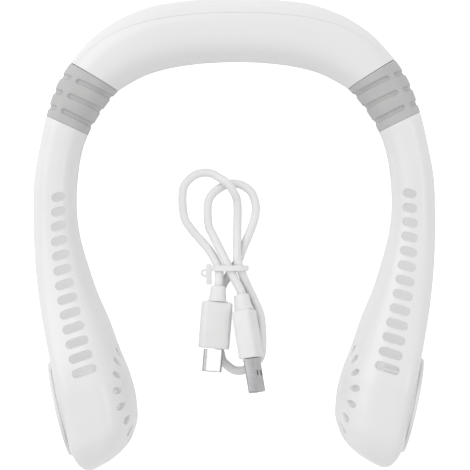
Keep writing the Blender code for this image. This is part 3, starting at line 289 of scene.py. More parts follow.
# %% [markdown]
# No plastic is one flat colour. Pigment lies unevenly, and edges that hands and tables touch go a
# touch lighter or darker. This group mixes two tones by a broad noise, and a third one by how
# sharply the surface turns, which the Pointiness output of the Geometry node tells.

# %% The tone group
PATCH_RANGE = (0.35, 0.65)
EDGE_RANGE = (0.52, 0.62)


def tone_group():
    inputs = {
        "Colour": (0.8, 0.8, 0.8, 1.0), "Second Colour": (0.75, 0.75, 0.75, 1.0),
        "Edge Colour": (0.85, 0.85, 0.85, 1.0), "Tone Scale": 40.0, "Edge Amount": 0.5,
    }
    group, nodes, link, given, result = node_group("Uneven tone", inputs, {"Colour": "NodeSocketColor"})
    place = nodes.new("ShaderNodeTexCoord").outputs["Object"]
    patch = noise(nodes, link, place, given.outputs["Tone Scale"], 5.0)
    patch = stretched(nodes, link, patch, *PATCH_RANGE)
    tones = mixed(nodes, link, patch, given.outputs["Colour"], given.outputs["Second Colour"])
    pointiness = nodes.new("ShaderNodeNewGeometry").outputs["Pointiness"]
    sharp = stretched(nodes, link, pointiness, *EDGE_RANGE)
    amount = maths(nodes, link, "MULTIPLY", sharp, given.outputs["Edge Amount"])
    link(mixed(nodes, link, amount, tones, given.outputs["Edge Colour"]), result.inputs["Colour"])
    return group


UNEVEN_TONE = tone_group()
print("group:", UNEVEN_TONE.name)

# %% [markdown]
# Sheet metal that was drawn or rolled has fine lines one way. A noise whose coordinates are
# squeezed along one direction gives such streaks, for the height and for the gloss.

# %% The drawn metal group


def drawn_metal_group():
    inputs = {"Streak Scale": 1500.0, "Stretch": 0.05, "Roughness": 0.25, "Roughness Spread": 0.15}
    outputs = {"Height": "NodeSocketFloat", "Roughness": "NodeSocketFloat"}
    group, nodes, link, given, result = node_group("Drawn metal", inputs, outputs)
    place = nodes.new("ShaderNodeTexCoord").outputs["Object"]
    parts = nodes.new("ShaderNodeSeparateXYZ")
    link(place, parts.inputs[0])
    squeezed = nodes.new("ShaderNodeCombineXYZ")
    link(parts.outputs["X"], squeezed.inputs["X"])
    link(maths(nodes, link, "MULTIPLY", parts.outputs["Y"], given.outputs["Stretch"]), squeezed.inputs["Y"])
    link(parts.outputs["Z"], squeezed.inputs["Z"])
    lines = noise(nodes, link, squeezed.outputs[0], given.outputs["Streak Scale"], 3.0)
    link(lines, result.inputs["Height"])
    spread_roughness(nodes, link, given, result, lines)
    return group


DRAWN_METAL = drawn_metal_group()
print("group:", DRAWN_METAL.name)

# %% [markdown]
# Every finish of this fan is one Principled shader fed by a tone group and a surface group. What
# is the same all over, such as the coat, the metallic value or a faint glow, is set on the shader
# itself.

# %% A helper for materials
WHITE = (1.0, 1.0, 1.0, 1.0)
COAT_ROUGHNESS = 0.12


def finish(name, tones, surface, surface_values, bump, metallic=0.0, coat=0.0, glow=0.0):
    """A material from two groups. tones are three colours, the tone scale and the edge amount."""
    material = bpy.data.materials.new(name)
    material.use_nodes = True
    nodes = material.node_tree.nodes
    link = material.node_tree.links.new

    def group(tree, values):
        node = nodes.new("ShaderNodeGroup")
        node.node_tree = tree
        set_values(node, values)
        return node.outputs

    shader = nodes["Principled BSDF"].inputs
    set_values(nodes["Principled BSDF"], {
        "Metallic": metallic, "Coat Weight": coat, "Coat Roughness": COAT_ROUGHNESS,
        "Emission Color": WHITE, "Emission Strength": glow,
    })
    colour, second, edge_colour, scale, edge = tones
    tone = group(UNEVEN_TONE, {
        "Colour": (*colour, 1.0), "Second Colour": (*second, 1.0), "Edge Colour": (*edge_colour, 1.0),
        "Tone Scale": scale, "Edge Amount": edge,
    })
    link(tone["Colour"], shader["Base Color"])
    skin = group(surface, surface_values)
    link(skin["Roughness"], shader["Roughness"])
    relief = nodes.new("ShaderNodeBump")
    set_values(relief, {"Strength": 1.0, "Distance": bump})
    link(skin["Height"], relief.inputs["Height"])
    link(relief.outputs["Normal"], shader["Normal"])
    return material


def skin(scale, roughness, spread):
    return {"Peel Scale": scale, "Roughness": roughness, "Roughness Spread": spread}


def streaks(scale, stretch, roughness, spread):
    return {"Streak Scale": scale, "Stretch": stretch, "Roughness": roughness, "Roughness Spread": spread}


# %% [markdown]
# The shells are glossy white ABS. The button is a darker grey, the sleeves are soft grey silicone
# with a matt, slightly dusty skin, and the lead's sheath and overmoulds are a satin elastomer.
# Light shines through thin white plastic and brightens what lies behind it. A faint painted glow on the
# arms' inner skins and the fan wheels stands for that: it lightens the shade seen through the slots.

# %% Plastics and rubbers
FAN_WHITE = finish(
    "gloss_white_abs",
    ((0.83, 0.83, 0.83), (0.815, 0.815, 0.815), (0.87, 0.87, 0.87), 25.0, 0.3),
    MOULDED_SKIN, skin(1100.0, 0.30, 0.08), 0.000004, coat=0.15,
)
INNER_WHITE = finish(
    "matt_white_abs",
    ((0.80, 0.80, 0.80), (0.77, 0.77, 0.77), (0.84, 0.84, 0.84), 90.0, 0.4),
    MOULDED_SKIN, skin(1500.0, 0.5, 0.12), 0.00001,
)
# painted glow: a faint emission that lightens the shaded inside of the arms and the fan wheels
PAINTED_GLOW_WHITE = finish(
    "painted_glow_white_inside",
    ((0.90, 0.90, 0.90), (0.88, 0.88, 0.88), (0.90, 0.90, 0.90), 90.0, 0.0),
    MOULDED_SKIN, skin(1500.0, 0.6, 0.1), 0.00001, glow=0.14,
)
BUTTON_GREY = finish(
    "button_grey",
    ((0.27, 0.27, 0.28), (0.25, 0.25, 0.26), (0.36, 0.36, 0.37), 200.0, 0.6),
    MOULDED_SKIN, skin(2500.0, 0.42, 0.1), 0.00001,
)
SLEEVE_GREY = finish(
    "sleeve_silicone",
    ((0.53, 0.53, 0.525), (0.50, 0.50, 0.50), (0.60, 0.60, 0.60), 120.0, 0.5),
    MOULDED_SKIN, skin(2200.0, 0.58, 0.14), 0.00002,
)
SHEATH_WHITE = finish(
    "sheath_elastomer",
    ((0.86, 0.86, 0.855), (0.835, 0.835, 0.83), (0.88, 0.88, 0.88), 150.0, 0.3),
    MOULDED_SKIN, skin(2600.0, 0.42, 0.1), 0.00001,
)
INSERT_BLACK = finish(
    "insert_black",
    ((0.025, 0.025, 0.027), (0.02, 0.02, 0.022), (0.05, 0.05, 0.052), 300.0, 0.6),
    MOULDED_SKIN, skin(3000.0, 0.45, 0.12), 0.00001,
)
INSERT_WHITE = finish(
    "insert_white",
    ((0.72, 0.72, 0.71), (0.69, 0.69, 0.68), (0.78, 0.78, 0.78), 300.0, 0.4),
    MOULDED_SKIN, skin(3000.0, 0.45, 0.12), 0.00001,
)
print("plastics:", FAN_WHITE.name, SLEEVE_GREY.name, SHEATH_WHITE.name)

# %% [markdown]
# The small plug's shell is bright plated steel and the wide plug's the same steel painted darker, a
# painted shade for the dark reflections on its faces, both with fine drawing lines. Inside are
# gold-plated contacts, copper windings, a green board and blue shrink film round the cells.

# %% Metals and the electronics
PLATED_STEEL = finish(
    "plated_steel",
    ((0.66, 0.66, 0.67), (0.60, 0.60, 0.61), (0.78, 0.78, 0.78), 400.0, 0.5),
    DRAWN_METAL, streaks(5000.0, 0.06, 0.24, 0.16), 0.000006, metallic=1.0,
)
# painted shade: the plated steel with a darker colour, which paints in the dark reflections on the wide
# plug's shell
PAINTED_DARK_STEEL = finish(
    "steel_painted_dark",
    ((0.47, 0.47, 0.48), (0.42, 0.42, 0.43), (0.62, 0.62, 0.62), 400.0, 0.5),
    DRAWN_METAL, streaks(5000.0, 0.06, 0.24, 0.16), 0.000006, metallic=1.0,
)
CONTACT_GOLD = finish(
    "contact_gold",
    ((0.83, 0.62, 0.27), (0.78, 0.57, 0.24), (0.9, 0.7, 0.35), 500.0, 0.4),
    DRAWN_METAL, streaks(6000.0, 0.08, 0.22, 0.1), 0.000004, metallic=1.0,
)
COPPER = finish(
    "copper_winding",
    ((0.72, 0.33, 0.16), (0.62, 0.27, 0.12), (0.85, 0.45, 0.25), 900.0, 0.5),
    DRAWN_METAL, streaks(3500.0, 0.3, 0.35, 0.2), 0.00006, metallic=1.0,
)
MAGNET_BLACK = finish(
    "magnet_ferrite",
    ((0.045, 0.043, 0.042), (0.03, 0.03, 0.03), (0.09, 0.09, 0.09), 700.0, 0.6),
    MOULDED_SKIN, skin(4000.0, 0.62, 0.15), 0.00002,
)
BOARD_GREEN = finish(
    "board_green",
    ((0.02, 0.16, 0.06), (0.015, 0.12, 0.045), (0.25, 0.3, 0.12), 260.0, 0.5),
    MOULDED_SKIN, skin(1800.0, 0.34, 0.1), 0.00001, coat=0.3,
)
CELL_FILM = finish(
    "cell_film",
    ((0.05, 0.17, 0.42), (0.04, 0.14, 0.37), (0.12, 0.27, 0.55), 120.0, 0.4),
    MOULDED_SKIN, skin(600.0, 0.28, 0.12), 0.00004, coat=0.2,
)
print("metals:", PLATED_STEEL.name, CONTACT_GOLD.name, COPPER.name)

# %% [markdown]
# Solids that keep their CAD mesh only need their finish. Each name goes with the material of what
# it is, and the pairs left and right share one.

# %% Finishes for the solids that stay
STAYING = {
    "control_board": BOARD_GREEN, "push_switch": INSERT_BLACK, "charge_socket": PLATED_STEEL,
    "battery_cell_left": CELL_FILM, "battery_cell_right": CELL_FILM,
}
SIDES = {"left": -1, "right": 1}
for side_name in SIDES:
    STAYING.update({
        f"cell_cradle_{side_name}": INNER_WHITE, f"hinge_fork_{side_name}": INNER_WHITE,
        f"hinge_tongue_{side_name}": INNER_WHITE, f"hinge_pin_{side_name}": PLATED_STEEL,
        f"motor_mount_{side_name}": INNER_WHITE, f"motor_stator_{side_name}": COPPER,
        f"rotor_magnet_{side_name}": MAGNET_BLACK, f"motor_shaft_{side_name}": PLATED_STEEL,
        # the fan wheels take the painted glow, which lightens the shade they sit in
        f"fan_wheel_{side_name}": PAINTED_GLOW_WHITE,
    })


def paint(piece, material):
    """Gives the piece this one material, whatever slots it has."""
    piece.data.materials.clear()
    piece.data.materials.append(material)


for node_name, material in STAYING.items():
    paint(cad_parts[node_name], material)
paint(cord, SHEATH_WHITE)
print("solids that keep their mesh:", len(STAYING))

# %% [markdown]
# All shells follow one table. Each row is an upright slice of the fan from its inner to its outer
# edge: where the two edges lie in the plan, how much of the band's, the arm's and the pod's height
# it has, how high its underside is and where the seam runs. The solids use the same table with
# few slices. Here the same curves are read at many more places, which keeps both in one shape.

# %% The sizes and the table of the shells
FAN_HALF_WIDTH = 0.0822
BODY_LENGTH = 0.1917
BAND_HEIGHT = 0.0315
ARM_HEIGHT = 0.0285
POD_HEIGHT = 0.0460
WALL = 0.0020
SEAM_GAP = 0.00005
FOOT_CUT = 0.0004
BUTTON_PROUD = 0.0012
BACK_Y = (BODY_LENGTH - BUTTON_PROUD) / 2
# Outer x and y, inner x and y, band, arm and pod share of the height, underside, seam
SHELL_SHARES = (
    (0.000, 0.000, 0.000, 0.136, 1.00, 0.00, 0.00, 0.00, 0.45),
    (0.224, 0.005, 0.190, 0.140, 1.00, 0.00, 0.00, 0.00, 0.47),
    (0.439, 0.021, 0.357, 0.152, 1.00, 0.00, 0.00, 0.00, 0.50),
    (0.584, 0.048, 0.449, 0.165, 1.00, 0.00, 0.00, 0.00, 0.58),
    (0.713, 0.089, 0.529, 0.183, 1.00, 0.00, 0.00, 0.00, 0.68),
    (0.806, 0.135, 0.575, 0.196, 0.85, 0.15, 0.00, 0.00, 0.78),
    (0.930, 0.248, 0.728, 0.289, 0.15, 0.85, 0.00, 0.00, 0.82),
    (0.970, 0.324, 0.766, 0.341, 0.00, 1.00, 0.00, 0.00, 0.86),
    (0.995, 0.388, 0.783, 0.397, 0.00, 1.00, 0.00, 0.00, 0.88),
    (1.000, 0.452, 0.786, 0.452, 0.00, 1.00, 0.00, 0.00, 0.88),
    (0.997, 0.523, 0.767, 0.512, 0.00, 0.95, 0.05, 0.00, 0.88),
    (0.985, 0.591, 0.727, 0.572, 0.00, 0.83, 0.17, 0.00, 0.88),
    (0.964, 0.655, 0.682, 0.628, 0.00, 0.64, 0.36, 0.00, 0.88),
    (0.934, 0.719, 0.623, 0.685, 0.00, 0.38, 0.62, 0.00, 0.88),
    (0.904, 0.776, 0.576, 0.740, 0.00, 0.13, 0.87, 0.00, 0.88),
    (0.869, 0.841, 0.521, 0.799, 0.00, 0.00, 1.00, 0.00, 0.88),
    (0.836, 0.906, 0.491, 0.859, 0.00, 0.00, 1.00, 0.00, 0.88),
    (0.804, 0.962, 0.499, 0.912, 0.00, 0.00, 0.97, 0.01, 0.88),
    (0.776, 0.983, 0.539, 0.947, 0.00, 0.00, 0.90, 0.07, 0.87),
    (0.744, 0.996, 0.614, 0.977, 0.00, 0.00, 0.78, 0.18, 0.85),
    (0.712, 1.000, 0.712, 1.000, 0.00, 0.00, 0.62, 0.36, 0.80),
)
# How square a slice is on its outer and inner side, for the band, the arm and the pod
OUTER_SQUARENESS = (2.6, 3.0, 7.0)
INNER_SQUARENESS = (2.6, 2.6, 2.1)
BAND_END = 5
ARM_START = 6
ARM_END = 19.9
CAVITY_END = 18.7


def plan_point(share_x, share_y):
    return np.array((share_x * FAN_HALF_WIDTH, BACK_Y - share_y * BODY_LENGTH, 0.0))


def smooth_between(rows, gaps, share):
    """A point between the middle two of four rows, on a smooth curve that minds their gaps."""
    a, b, c, d = rows
    before, here, after = gaps
    leave = here * ((b - a) / before - (c - a) / (before + here) + (c - b) / here)
    arrive = here * ((c - b) / here - (d - b) / (here + after) + (d - c) / after)
    square = 3 * (c - b) - 2 * leave - arrive
    cube = 2 * (b - c) + leave + arrive
    return b + leave * share + square * share**2 + cube * share**3


def shell_row(place):
    """The table's row at a place between its rows, on a smooth curve through them."""
    rows = [np.array(row) for row in SHELL_SHARES]
    mirror = np.array((-1, 1, -1, 1, 1, 1, 1, 1, 1))
    rows = [rows[1] * mirror, *rows, 2 * rows[-1] - rows[-2]]
    index = min(int(place), len(SHELL_SHARES) - 2)
    near = rows[index:index + 4]
    middles = [plan_point((row[0] + row[2]) / 2, (row[1] + row[3]) / 2) for row in near]
    gaps = [np.linalg.norm(b - a) for a, b in zip(middles, middles[1:])]
    return smooth_between(near, gaps, place - index)


def slice_at(place, side=1):
    """The slice at a place: its two edges, its underside and top, its seam and its squareness."""
    row = shell_row(abs(place))
    direction = np.array((side * (-1 if place < 0 else 1), 1, 1))
    weights = np.clip(row[4:7], 0, 1)
    high = float(np.dot(weights, (BAND_HEIGHT, ARM_HEIGHT, POD_HEIGHT)))
    weights = weights / weights.sum()
    powers = [float(np.dot(weights, squareness)) for squareness in (OUTER_SQUARENESS, INNER_SQUARENESS)]
    low = max(row[7], 0) * POD_HEIGHT - FOOT_CUT
    return plan_point(*row[:2]) * direction, plan_point(*row[2:4]) * direction, low, high, row[8], powers


def slice_points(cut, angles, inset):
    """Points on a slice's outline. Angle 0 is the middle of the outer side, a quarter turn the top."""
    outer, inner, low, high, _, powers = cut
    across = (outer - inner) / 2
    reach = np.linalg.norm(across)
    cosine, sine = np.cos(angles), np.sin(angles)
    inset = np.broadcast_to(inset, cosine.shape)
    power = np.where(cosine > 0, *powers)
    u = np.sign(cosine) * np.abs(cosine) ** (2 / power) * (reach - inset)
    v = np.sign(sine) * np.abs(sine) ** (2 / power) * ((high - low) / 2 - inset)
    points = (outer + inner) / 2 + u[:, None] * across / reach
    points[:, 2] = np.maximum((high + low) / 2 + v, inset)
    return points


print("slices in the table:", len(SHELL_SHARES))

# %% [markdown]
# A housing is moulded in two halves that meet along a seam. Each half is a wall of two skins with
# a cut edge. Points spaced evenly along each slice, and not by its angle, keep the faces alike in
# size where the pod's outer side turns sharply.

# %% One half of a slice


def seam_angles(cut, inset):
    """The angles on both sides of the seam's gap: the outer half's and the inner half's."""
    seam, powers, high = cut[4], cut[5], cut[3]
    angle = math.acos(seam ** (powers[0] / 2))
    step = SEAM_GAP / high
    ahead, behind = slice_points(cut, np.array((angle + step, angle - step)), inset)
    half_gap = SEAM_GAP * step / np.linalg.norm(ahead - behind)
    return angle - half_gap, angle + half_gap


def even_points(points, count):
    """The same line with this many points, evenly spaced."""
    lengths = np.linalg.norm(np.diff(points, axis=0), axis=1)
    travelled = np.concatenate(([0], np.cumsum(lengths)))
    stops = np.linspace(0, travelled[-1], count)
    return np.stack([np.interp(stops, travelled, points[:, axis]) for axis in range(3)], axis=1)


def half_row(place, side, inset, half, count):
    """The points of the outer or inner half of a slice, from its one seam to the other."""
    cut = slice_at(place, side)
    before, after = seam_angles(cut, inset)
    first, last = (-before, before) if half == "outer" else (after, math.tau - after)
    fine = slice_points(cut, np.linspace(first, last, 8 * count), inset)
    return even_points(fine, count)


def half_wall(outer_rows, inner_rows, blind_end, inside=0):
    """A wall between two skins. A blind end is closed all over. The inner skin has its own finish."""
    build = bmesh.new()
    outer, inner = skins = [
        [[build.verts.new(point) for point in row] for row in rows] for rows in (outer_rows, inner_rows)
    ]
    last = len(outer[0]) - 1
    for slot, rows in zip((0, inside), skins):
        for low, high in zip(rows, rows[1:]):
            for i in range(last):
                build.faces.new((low[i], low[i + 1], high[i + 1], high[i])).material_index = slot
    for k in range(len(outer) - 1):
        for i in (0, last):
            build.faces.new((outer[k][i], outer[k + 1][i], inner[k + 1][i], inner[k][i]))
    for k in (0,) if blind_end else (0, -1):
        for i in range(last):
            build.faces.new((outer[k][i], outer[k][i + 1], inner[k][i + 1], inner[k][i]))
    if blind_end:
        build.faces.new(outer[-1])
        build.faces.new(inner[-1])
        build.faces.new((outer[-1][0], outer[-1][-1], inner[-1][-1], inner[-1][0]))
    bmesh.ops.recalc_face_normals(build, faces=build.faces)
    return build


print("points on half a slice:", len(half_row(0, 1, 0, "outer", 24)))

# %% [markdown]
# A moulded edge is never knife sharp. A narrow bevel where two faces meet at a clear angle catches
# a thin line of light, which is how the eye finds a seam. The mesh is then shaded smooth, except
# where its faces still meet at a sharp angle.

# %% Helpers that turn a bmesh into a piece
SHARP_ANGLE = math.radians(35)


def bevel_edges(build, width, angle=math.radians(50), segments=2):
    """Rounds every edge whose faces meet at more than the angle."""
    edges = [edge for edge in build.edges if edge.is_manifold and edge.calc_face_angle() > angle]
    bmesh.ops.bevel(
        build, geom=edges, offset=width, segments=segments, profile=0.5, affect="EDGES", clamp_overlap=True
    )


def add_piece(name, build, material, body, *nodes, place=None):
    """Makes an object of a bmesh, in the frame of place, and lets it ride on a body."""
    bmesh.ops.recalc_face_normals(build, faces=build.faces)
    mesh = bpy.data.meshes.new(name)
    build.to_mesh(mesh)
    build.free()
    if place:
        mesh.transform(place)
    mesh.shade_smooth()
    mesh.set_sharp_from_angle(angle=SHARP_ANGLE)
    mesh.materials.append(material)
    piece = add_object(name, mesh)
    if body:
        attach(piece, body)
    if nodes:
        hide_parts(*nodes)
    return piece


def loft(rings, closed=False):
    """A body through rings of points: capped at both ends, or closed from its last ring to its first."""
    build = bmesh.new()
    rows = [[build.verts.new(point) for point in ring] for ring in rings]
    count = len(rings[0])
    for low, high in zip(rows, rows[1:] + rows[:1] if closed else rows[1:]):
        for i in range(count):
            j = (i + 1) % count
            build.faces.new((low[i], low[j], high[j], high[i]))
    if not closed:
        build.faces.new(rows[0])
        build.faces.new(rows[-1])
    bmesh.ops.recalc_face_normals(build, faces=build.faces)
    return build


def turned(profile, sides=96):
    """A body of revolution about Z from (radius, z) points. Off the axis it is a ring."""
    build = bmesh.new()
    axis = {k: build.verts.new((0, 0, z)) for k, (r, z) in enumerate(profile) if r == 0}
    rows = []
    for i in range(sides):
        c, s = math.cos(math.tau * i / sides), math.sin(math.tau * i / sides)
        rows.append([axis.get(k) or build.verts.new((r * c, r * s, z)) for k, (r, z) in enumerate(profile)])
    for here, there in zip(rows, rows[1:] + rows[:1]):
        for k in range(len(profile)):
            n = (k + 1) % len(profile)
            corners = list(dict.fromkeys((here[k], there[k], there[n], here[n])))
            if len(corners) > 2:
                build.faces.new(corners)
    bmesh.ops.recalc_face_normals(build, faces=build.faces)
    return build


def circle(radius, sides=96):
    turns = [math.tau * i / sides for i in range(sides)]
    return [(math.cos(turn) * radius, math.sin(turn) * radius) for turn in turns]


def stadium(length, width, sides=12):
    """A slot's outline along X, with round ends."""
    radius = width / 2
    reach = max(length / 2 - radius, 0)
    points = []
    for end in (1, -1):
        for i in range(sides + 1):
            angle = math.pi * (i / sides - 1 / 2)
            points.append((end * (reach + radius * math.cos(angle)), end * radius * math.sin(angle)))
    return points


def rounded_rectangle(width, height, corner, sides=6):
    points = []
    for sx, sy, start in ((1, 1, 0), (-1, 1, 1), (-1, -1, 2), (1, -1, 3)):
        for i in range(sides + 1):
            angle = math.pi / 2 * (start + i / sides)
            x = sx * (width / 2 - corner) + corner * math.cos(angle)
            y = sy * (height / 2 - corner) + corner * math.sin(angle)
            points.append((x, y))
    return points


def at_level(outline, z):
    return [(x, y, z) for x, y in outline]


def prism(outline, low, high):
    return loft([at_level(outline, low), at_level(outline, high)])


def joined(builds):
    """One bmesh of several, which are used up."""
    together = bmesh.new()
    for build in builds:
        carrier = bpy.data.meshes.new("carrier")
        build.to_mesh(carrier)
        build.free()
        together.from_mesh(carrier)
        bpy.data.meshes.remove(carrier)
    return together


def boolean(piece, builds, operation):
    """Cuts the bodies of some bmeshes out of a piece, or joins them to it, and keeps the result."""
    together = joined(builds)
    mesh = bpy.data.meshes.new("tool")
    together.to_mesh(mesh)
    together.free()
    tool = add_object("tool", mesh)
    modifier = piece.modifiers.new(operation, "BOOLEAN")
    modifier.operation = operation
    modifier.solver = "EXACT"
    modifier.object = tool
    evaluated = piece.evaluated_get(bpy.context.evaluated_depsgraph_get())
    result = bpy.data.meshes.new_from_object(evaluated)
    piece.modifiers.clear()
    old = piece.data
    result.name = old.name
    piece.data = result
    bpy.data.meshes.remove(old)
    bpy.data.objects.remove(tool)
    bpy.data.meshes.remove(mesh)
    result.shade_smooth()
    result.set_sharp_from_angle(angle=SHARP_ANGLE)


def moved(build, matrix):
    bmesh.ops.transform(build, matrix=matrix, verts=build.verts)
    return build


# %% [markdown]
# Cutting a curved surface leaves long thin faces round each hole, and their averaged normals show
# as dents in the gloss. So the normals of the whole, uncut skin are kept aside and given back to
# every corner of the cut piece that still lies on that skin.

# %% Keeping a cut skin smooth


class Skin:
    """An uncut surface: where it is along a ray, and its smooth normal near a point."""

    def __init__(self, mesh):
        mesh.calc_loop_triangles()
        self.triangles = [tuple(triangle.vertices) for triangle in mesh.loop_triangles]
        self.points = [vertex.co.copy() for vertex in mesh.vertices]
        self.normals = [vertex.normal.copy() for vertex in mesh.vertices]
        self.tree = BVHTree.FromPolygons(self.points, self.triangles)

    def hit(self, start, direction):
        return self.tree.ray_cast(start, direction)[0]

    def normal(self, point):
        place, _, index, distance = self.tree.find_nearest(point)
        corners = self.triangles[index]
        a, b, c = (self.points[k] for k in corners)
        whole = (b - a).cross(c - a)
        squared = whole.length_squared or 1.0
        weights = (
            (b - place).cross(c - place).dot(whole) / squared,
            (c - place).cross(a - place).dot(whole) / squared,
            (a - place).cross(b - place).dot(whole) / squared,
        )
        blended = sum((self.normals[k] * w for k, w in zip(corners, weights)), Vector())
        return blended.normalized(), distance


def keep_smooth(piece, skin, near=0.00003, far=0.0003, turn=0.96):
    """Gives the corners that lie on the old skin the old skin's normals."""
    mesh = piece.data
    normals = [Vector(corner.vector) for corner in mesh.corner_normals]
    for polygon in mesh.polygons:
        expected, distance = skin.normal(polygon.center)
        if distance < far and expected.dot(polygon.normal) > turn:
            for loop in polygon.loop_indices:
                point = mesh.vertices[mesh.loops[loop].vertex_index].co
                normal, distance = skin.normal(point)
                if distance < near:
                    normals[loop] = normal
    mesh.normals_split_custom_set(normals)


# %% [markdown]
# The band is the part behind the neck. It holds the cells and the board, and its back carries the
# button and the charging socket. Its two halves come straight from the table, from the one sleeve
# round to the other.

# %% The band's two halves
BUTTON_WIDTH = 0.0137
BUTTON_HEIGHT = 0.0050
BUTTON_LIFT = 0.0034
SOCKET_WIDTH = 0.0090
SOCKET_HEIGHT = 0.0032
SOCKET_DROP = 0.0052
SEAM_ROUNDING = 0.00016
BUTTON_RIM = 0.0002
SOCKET_RIM = 0.0003
HOLE_REACH = (-0.004, 0.002)
# How far out and how high each ring of a hole's rim lies, as shares of its rounding
HOLE_RIM_SHARES = ((1.6, 0.4), (0.5, -0.5), (0.15, -1.0), (0.0, -1.8))


def back_frame(lift):
    """A frame on the back of the band: +Z points out of it, X along it, above its middle by lift."""
    return Matrix(((-1, 0, 0, 0), (0, 0, 1, BACK_Y), (0, 1, 0, BAND_HEIGHT / 2 + lift), (0, 0, 0, 1)))


def rounded_hole(length, width, rounding):
    """A cutter for a slot in a flat or gently curved face at level 0, with a rounded rim."""
    low, high = HOLE_REACH
    levels = [(out * rounding, rise * rounding) for out, rise in HOLE_RIM_SHARES]
    levels = [(levels[0][0], high), *levels, (0, low)]
    return loft([at_level(stadium(length + 2 * out, width + 2 * out), z) for out, z in levels])


def band_halves():
    places = np.linspace(-BAND_END, BAND_END, 121)
    halves = {}
    for half, count in (("outer", 48), ("inner", 88)):
        rows = [[half_row(t, 1, inset, half, count) for t in places] for inset in (0, WALL)]
        build = half_wall(*rows, blind_end=False)
        bevel_edges(build, SEAM_ROUNDING)
        name = f"band_{half}_half"
        halves[half] = add_piece(name, build, FAN_WHITE, "neck_band", f"band_{half}_shell")
    holes = [
        moved(rounded_hole(width + 2 * CLEARANCE, height + 2 * CLEARANCE, rim), back_frame(lift))
        for width, height, rim, lift in (
            (BUTTON_WIDTH, BUTTON_HEIGHT, BUTTON_RIM, BUTTON_LIFT),
            (SOCKET_WIDTH, SOCKET_HEIGHT, SOCKET_RIM, -SOCKET_DROP),
        )
    ]
    skin = Skin(halves["outer"].data)
    boolean(halves["outer"], holes, "DIFFERENCE")
    keep_smooth(halves["outer"], skin)
    return halves


BAND = band_halves()
print("band faces:", {half: len(piece.data.polygons) for half, piece in BAND.items()})

# %% [markdown]
# Each arm's inner half carries the slots that blow the air out and a ring of small intake holes
# round the pod's inner side. All have softly rounded rims. A cutter that follows the surface makes
# such a rim: each of its rings is the hole's outline, a little wider than the one below it, laid on
# the skin at its own depth.

# %% Cutters that follow the skin
RIM_LEVELS = (
    (0.00030, 0.0012), (0.00030, 0.00006), (0.00017, -0.00003), (0.00009, -0.00010),
    (0.00003, -0.00022), (0.0, -0.00040),
)
CUT_DEPTH = 0.0050
RAY_START = 0.05


def surface_cutter(skin, place, outline, scale=1.0):
    """A cutter along a frame's Z for a hole of this outline, which takes how far out it is moved."""
    down = (place.to_3x3() @ Vector((0, 0, -1))).normalized()
    inverse = place.inverted()
    levels = [(out * scale, rise * scale) for out, rise in RIM_LEVELS]
    rings = []
    for out, rise in [*levels, (0.0, -CUT_DEPTH)]:
        ring = []
        for x, y in outline(out):
            level = (inverse @ skin.hit(place @ Vector((x, y, RAY_START)), down)).z
            ring.append(place @ Vector((x, y, level + rise)))
        rings.append(ring)
    return loft(rings)


SLOT_PITCH = 0.00605
SLOT_WIDTH = 0.0034
SLOT_LENGTHS = (0.0054, 0.0100)
SLOT_TILTS_DEG = (16.0, 18.0)
SLOT_PATH_SHARES = ((0.864, 0.422), (0.860, 0.517), (0.818, 0.639), (0.732, 0.785))


def slot_middles():
    """The middles of the slots, evenly spaced along a smooth curve."""
    path = [plan_point(*place) for place in SLOT_PATH_SHARES]
    path = [2 * path[0] - path[1], *path, 2 * path[-1] - path[-2]]
    fine = [between(*path[k:k + 4], i / 16) for k in range(len(path) - 3) for i in range(16)]
    fine = np.array([*fine, path[-2]])
    length = np.linalg.norm(np.diff(fine, axis=0), axis=1).sum()
    return even_points(fine, round(length / SLOT_PITCH) + 1)


def slot_cutters(skin, side):
    middles = slot_middles()
    cutters = []
    for k, middle in enumerate(middles):
        share = k / (len(middles) - 1)
        long_side = np.interp(share, (0, 1), SLOT_LENGTHS)
        tilt = math.radians(np.interp(share, (0, 1), SLOT_TILTS_DEG))
        place = Matrix.Translation((side * middle[0], middle[1], POD_HEIGHT / 2))
        place = place @ Matrix.Rotation(-side * tilt, 4, "Z")
        cutters.append(surface_cutter(
            skin, place, lambda out: stadium(long_side + 2 * out, SLOT_WIDTH + 2 * out, 10)
        ))
    return cutters


print("outlet slots in each arm:", len(slot_middles()))

# %% [markdown]
# The intake holes are drop-shaped and stand in a ring round the blower's axis. The axis leans a
# little, because the pod's outer side does, so the cutters work in the pod's own frame.

# %% The pod's frame and the intake holes
COVER_FIRST_ROW = 14
COVER_LAST_ROW = 17
COLLAR_PROUD = 0.0002
INTAKE_HOLES = 18
INTAKE_RING_RADIUS = 0.0181
INTAKE_TURN_DEG = -8.5
INTAKE_RIM_SHARE = 0.6
DROP_LENGTH = 0.0048
DROP_WIDTH = 0.0036
DROP_NARROWING = 0.28


def pod_frame(side):
    """The blower's frame: its origin is the middle of the collar's outer end, +Z points outwards."""
    first = Vector(slice_at(COVER_FIRST_ROW, side)[0])
    last = Vector(slice_at(COVER_LAST_ROW, side)[0])
    along = (last - first).normalized()
    outward = Vector((-along.y, along.x, 0)) * side
    middle = (first + last) / 2 + outward * COLLAR_PROUD
    middle.z = POD_HEIGHT / 2
    up = Vector((0, 0, 1))
    matrix = Matrix.Identity(4)
    for column, axis in enumerate((up, outward.cross(up), outward)):
        matrix.col[column][:3] = axis
    matrix.translation = middle
    return matrix


def drop_outline(out, points=28):
    """A drop with its narrow end towards the blower's axis, moved outwards by out."""
    outline = []
    for i in range(points):
        angle = math.tau * i / points
        x = math.cos(angle)
        half_width = DROP_WIDTH / 2 * (1 - DROP_NARROWING + DROP_NARROWING * x)
        outline.append((x * (DROP_LENGTH / 2 + out), math.sin(angle) * (half_width + out)))
    return outline


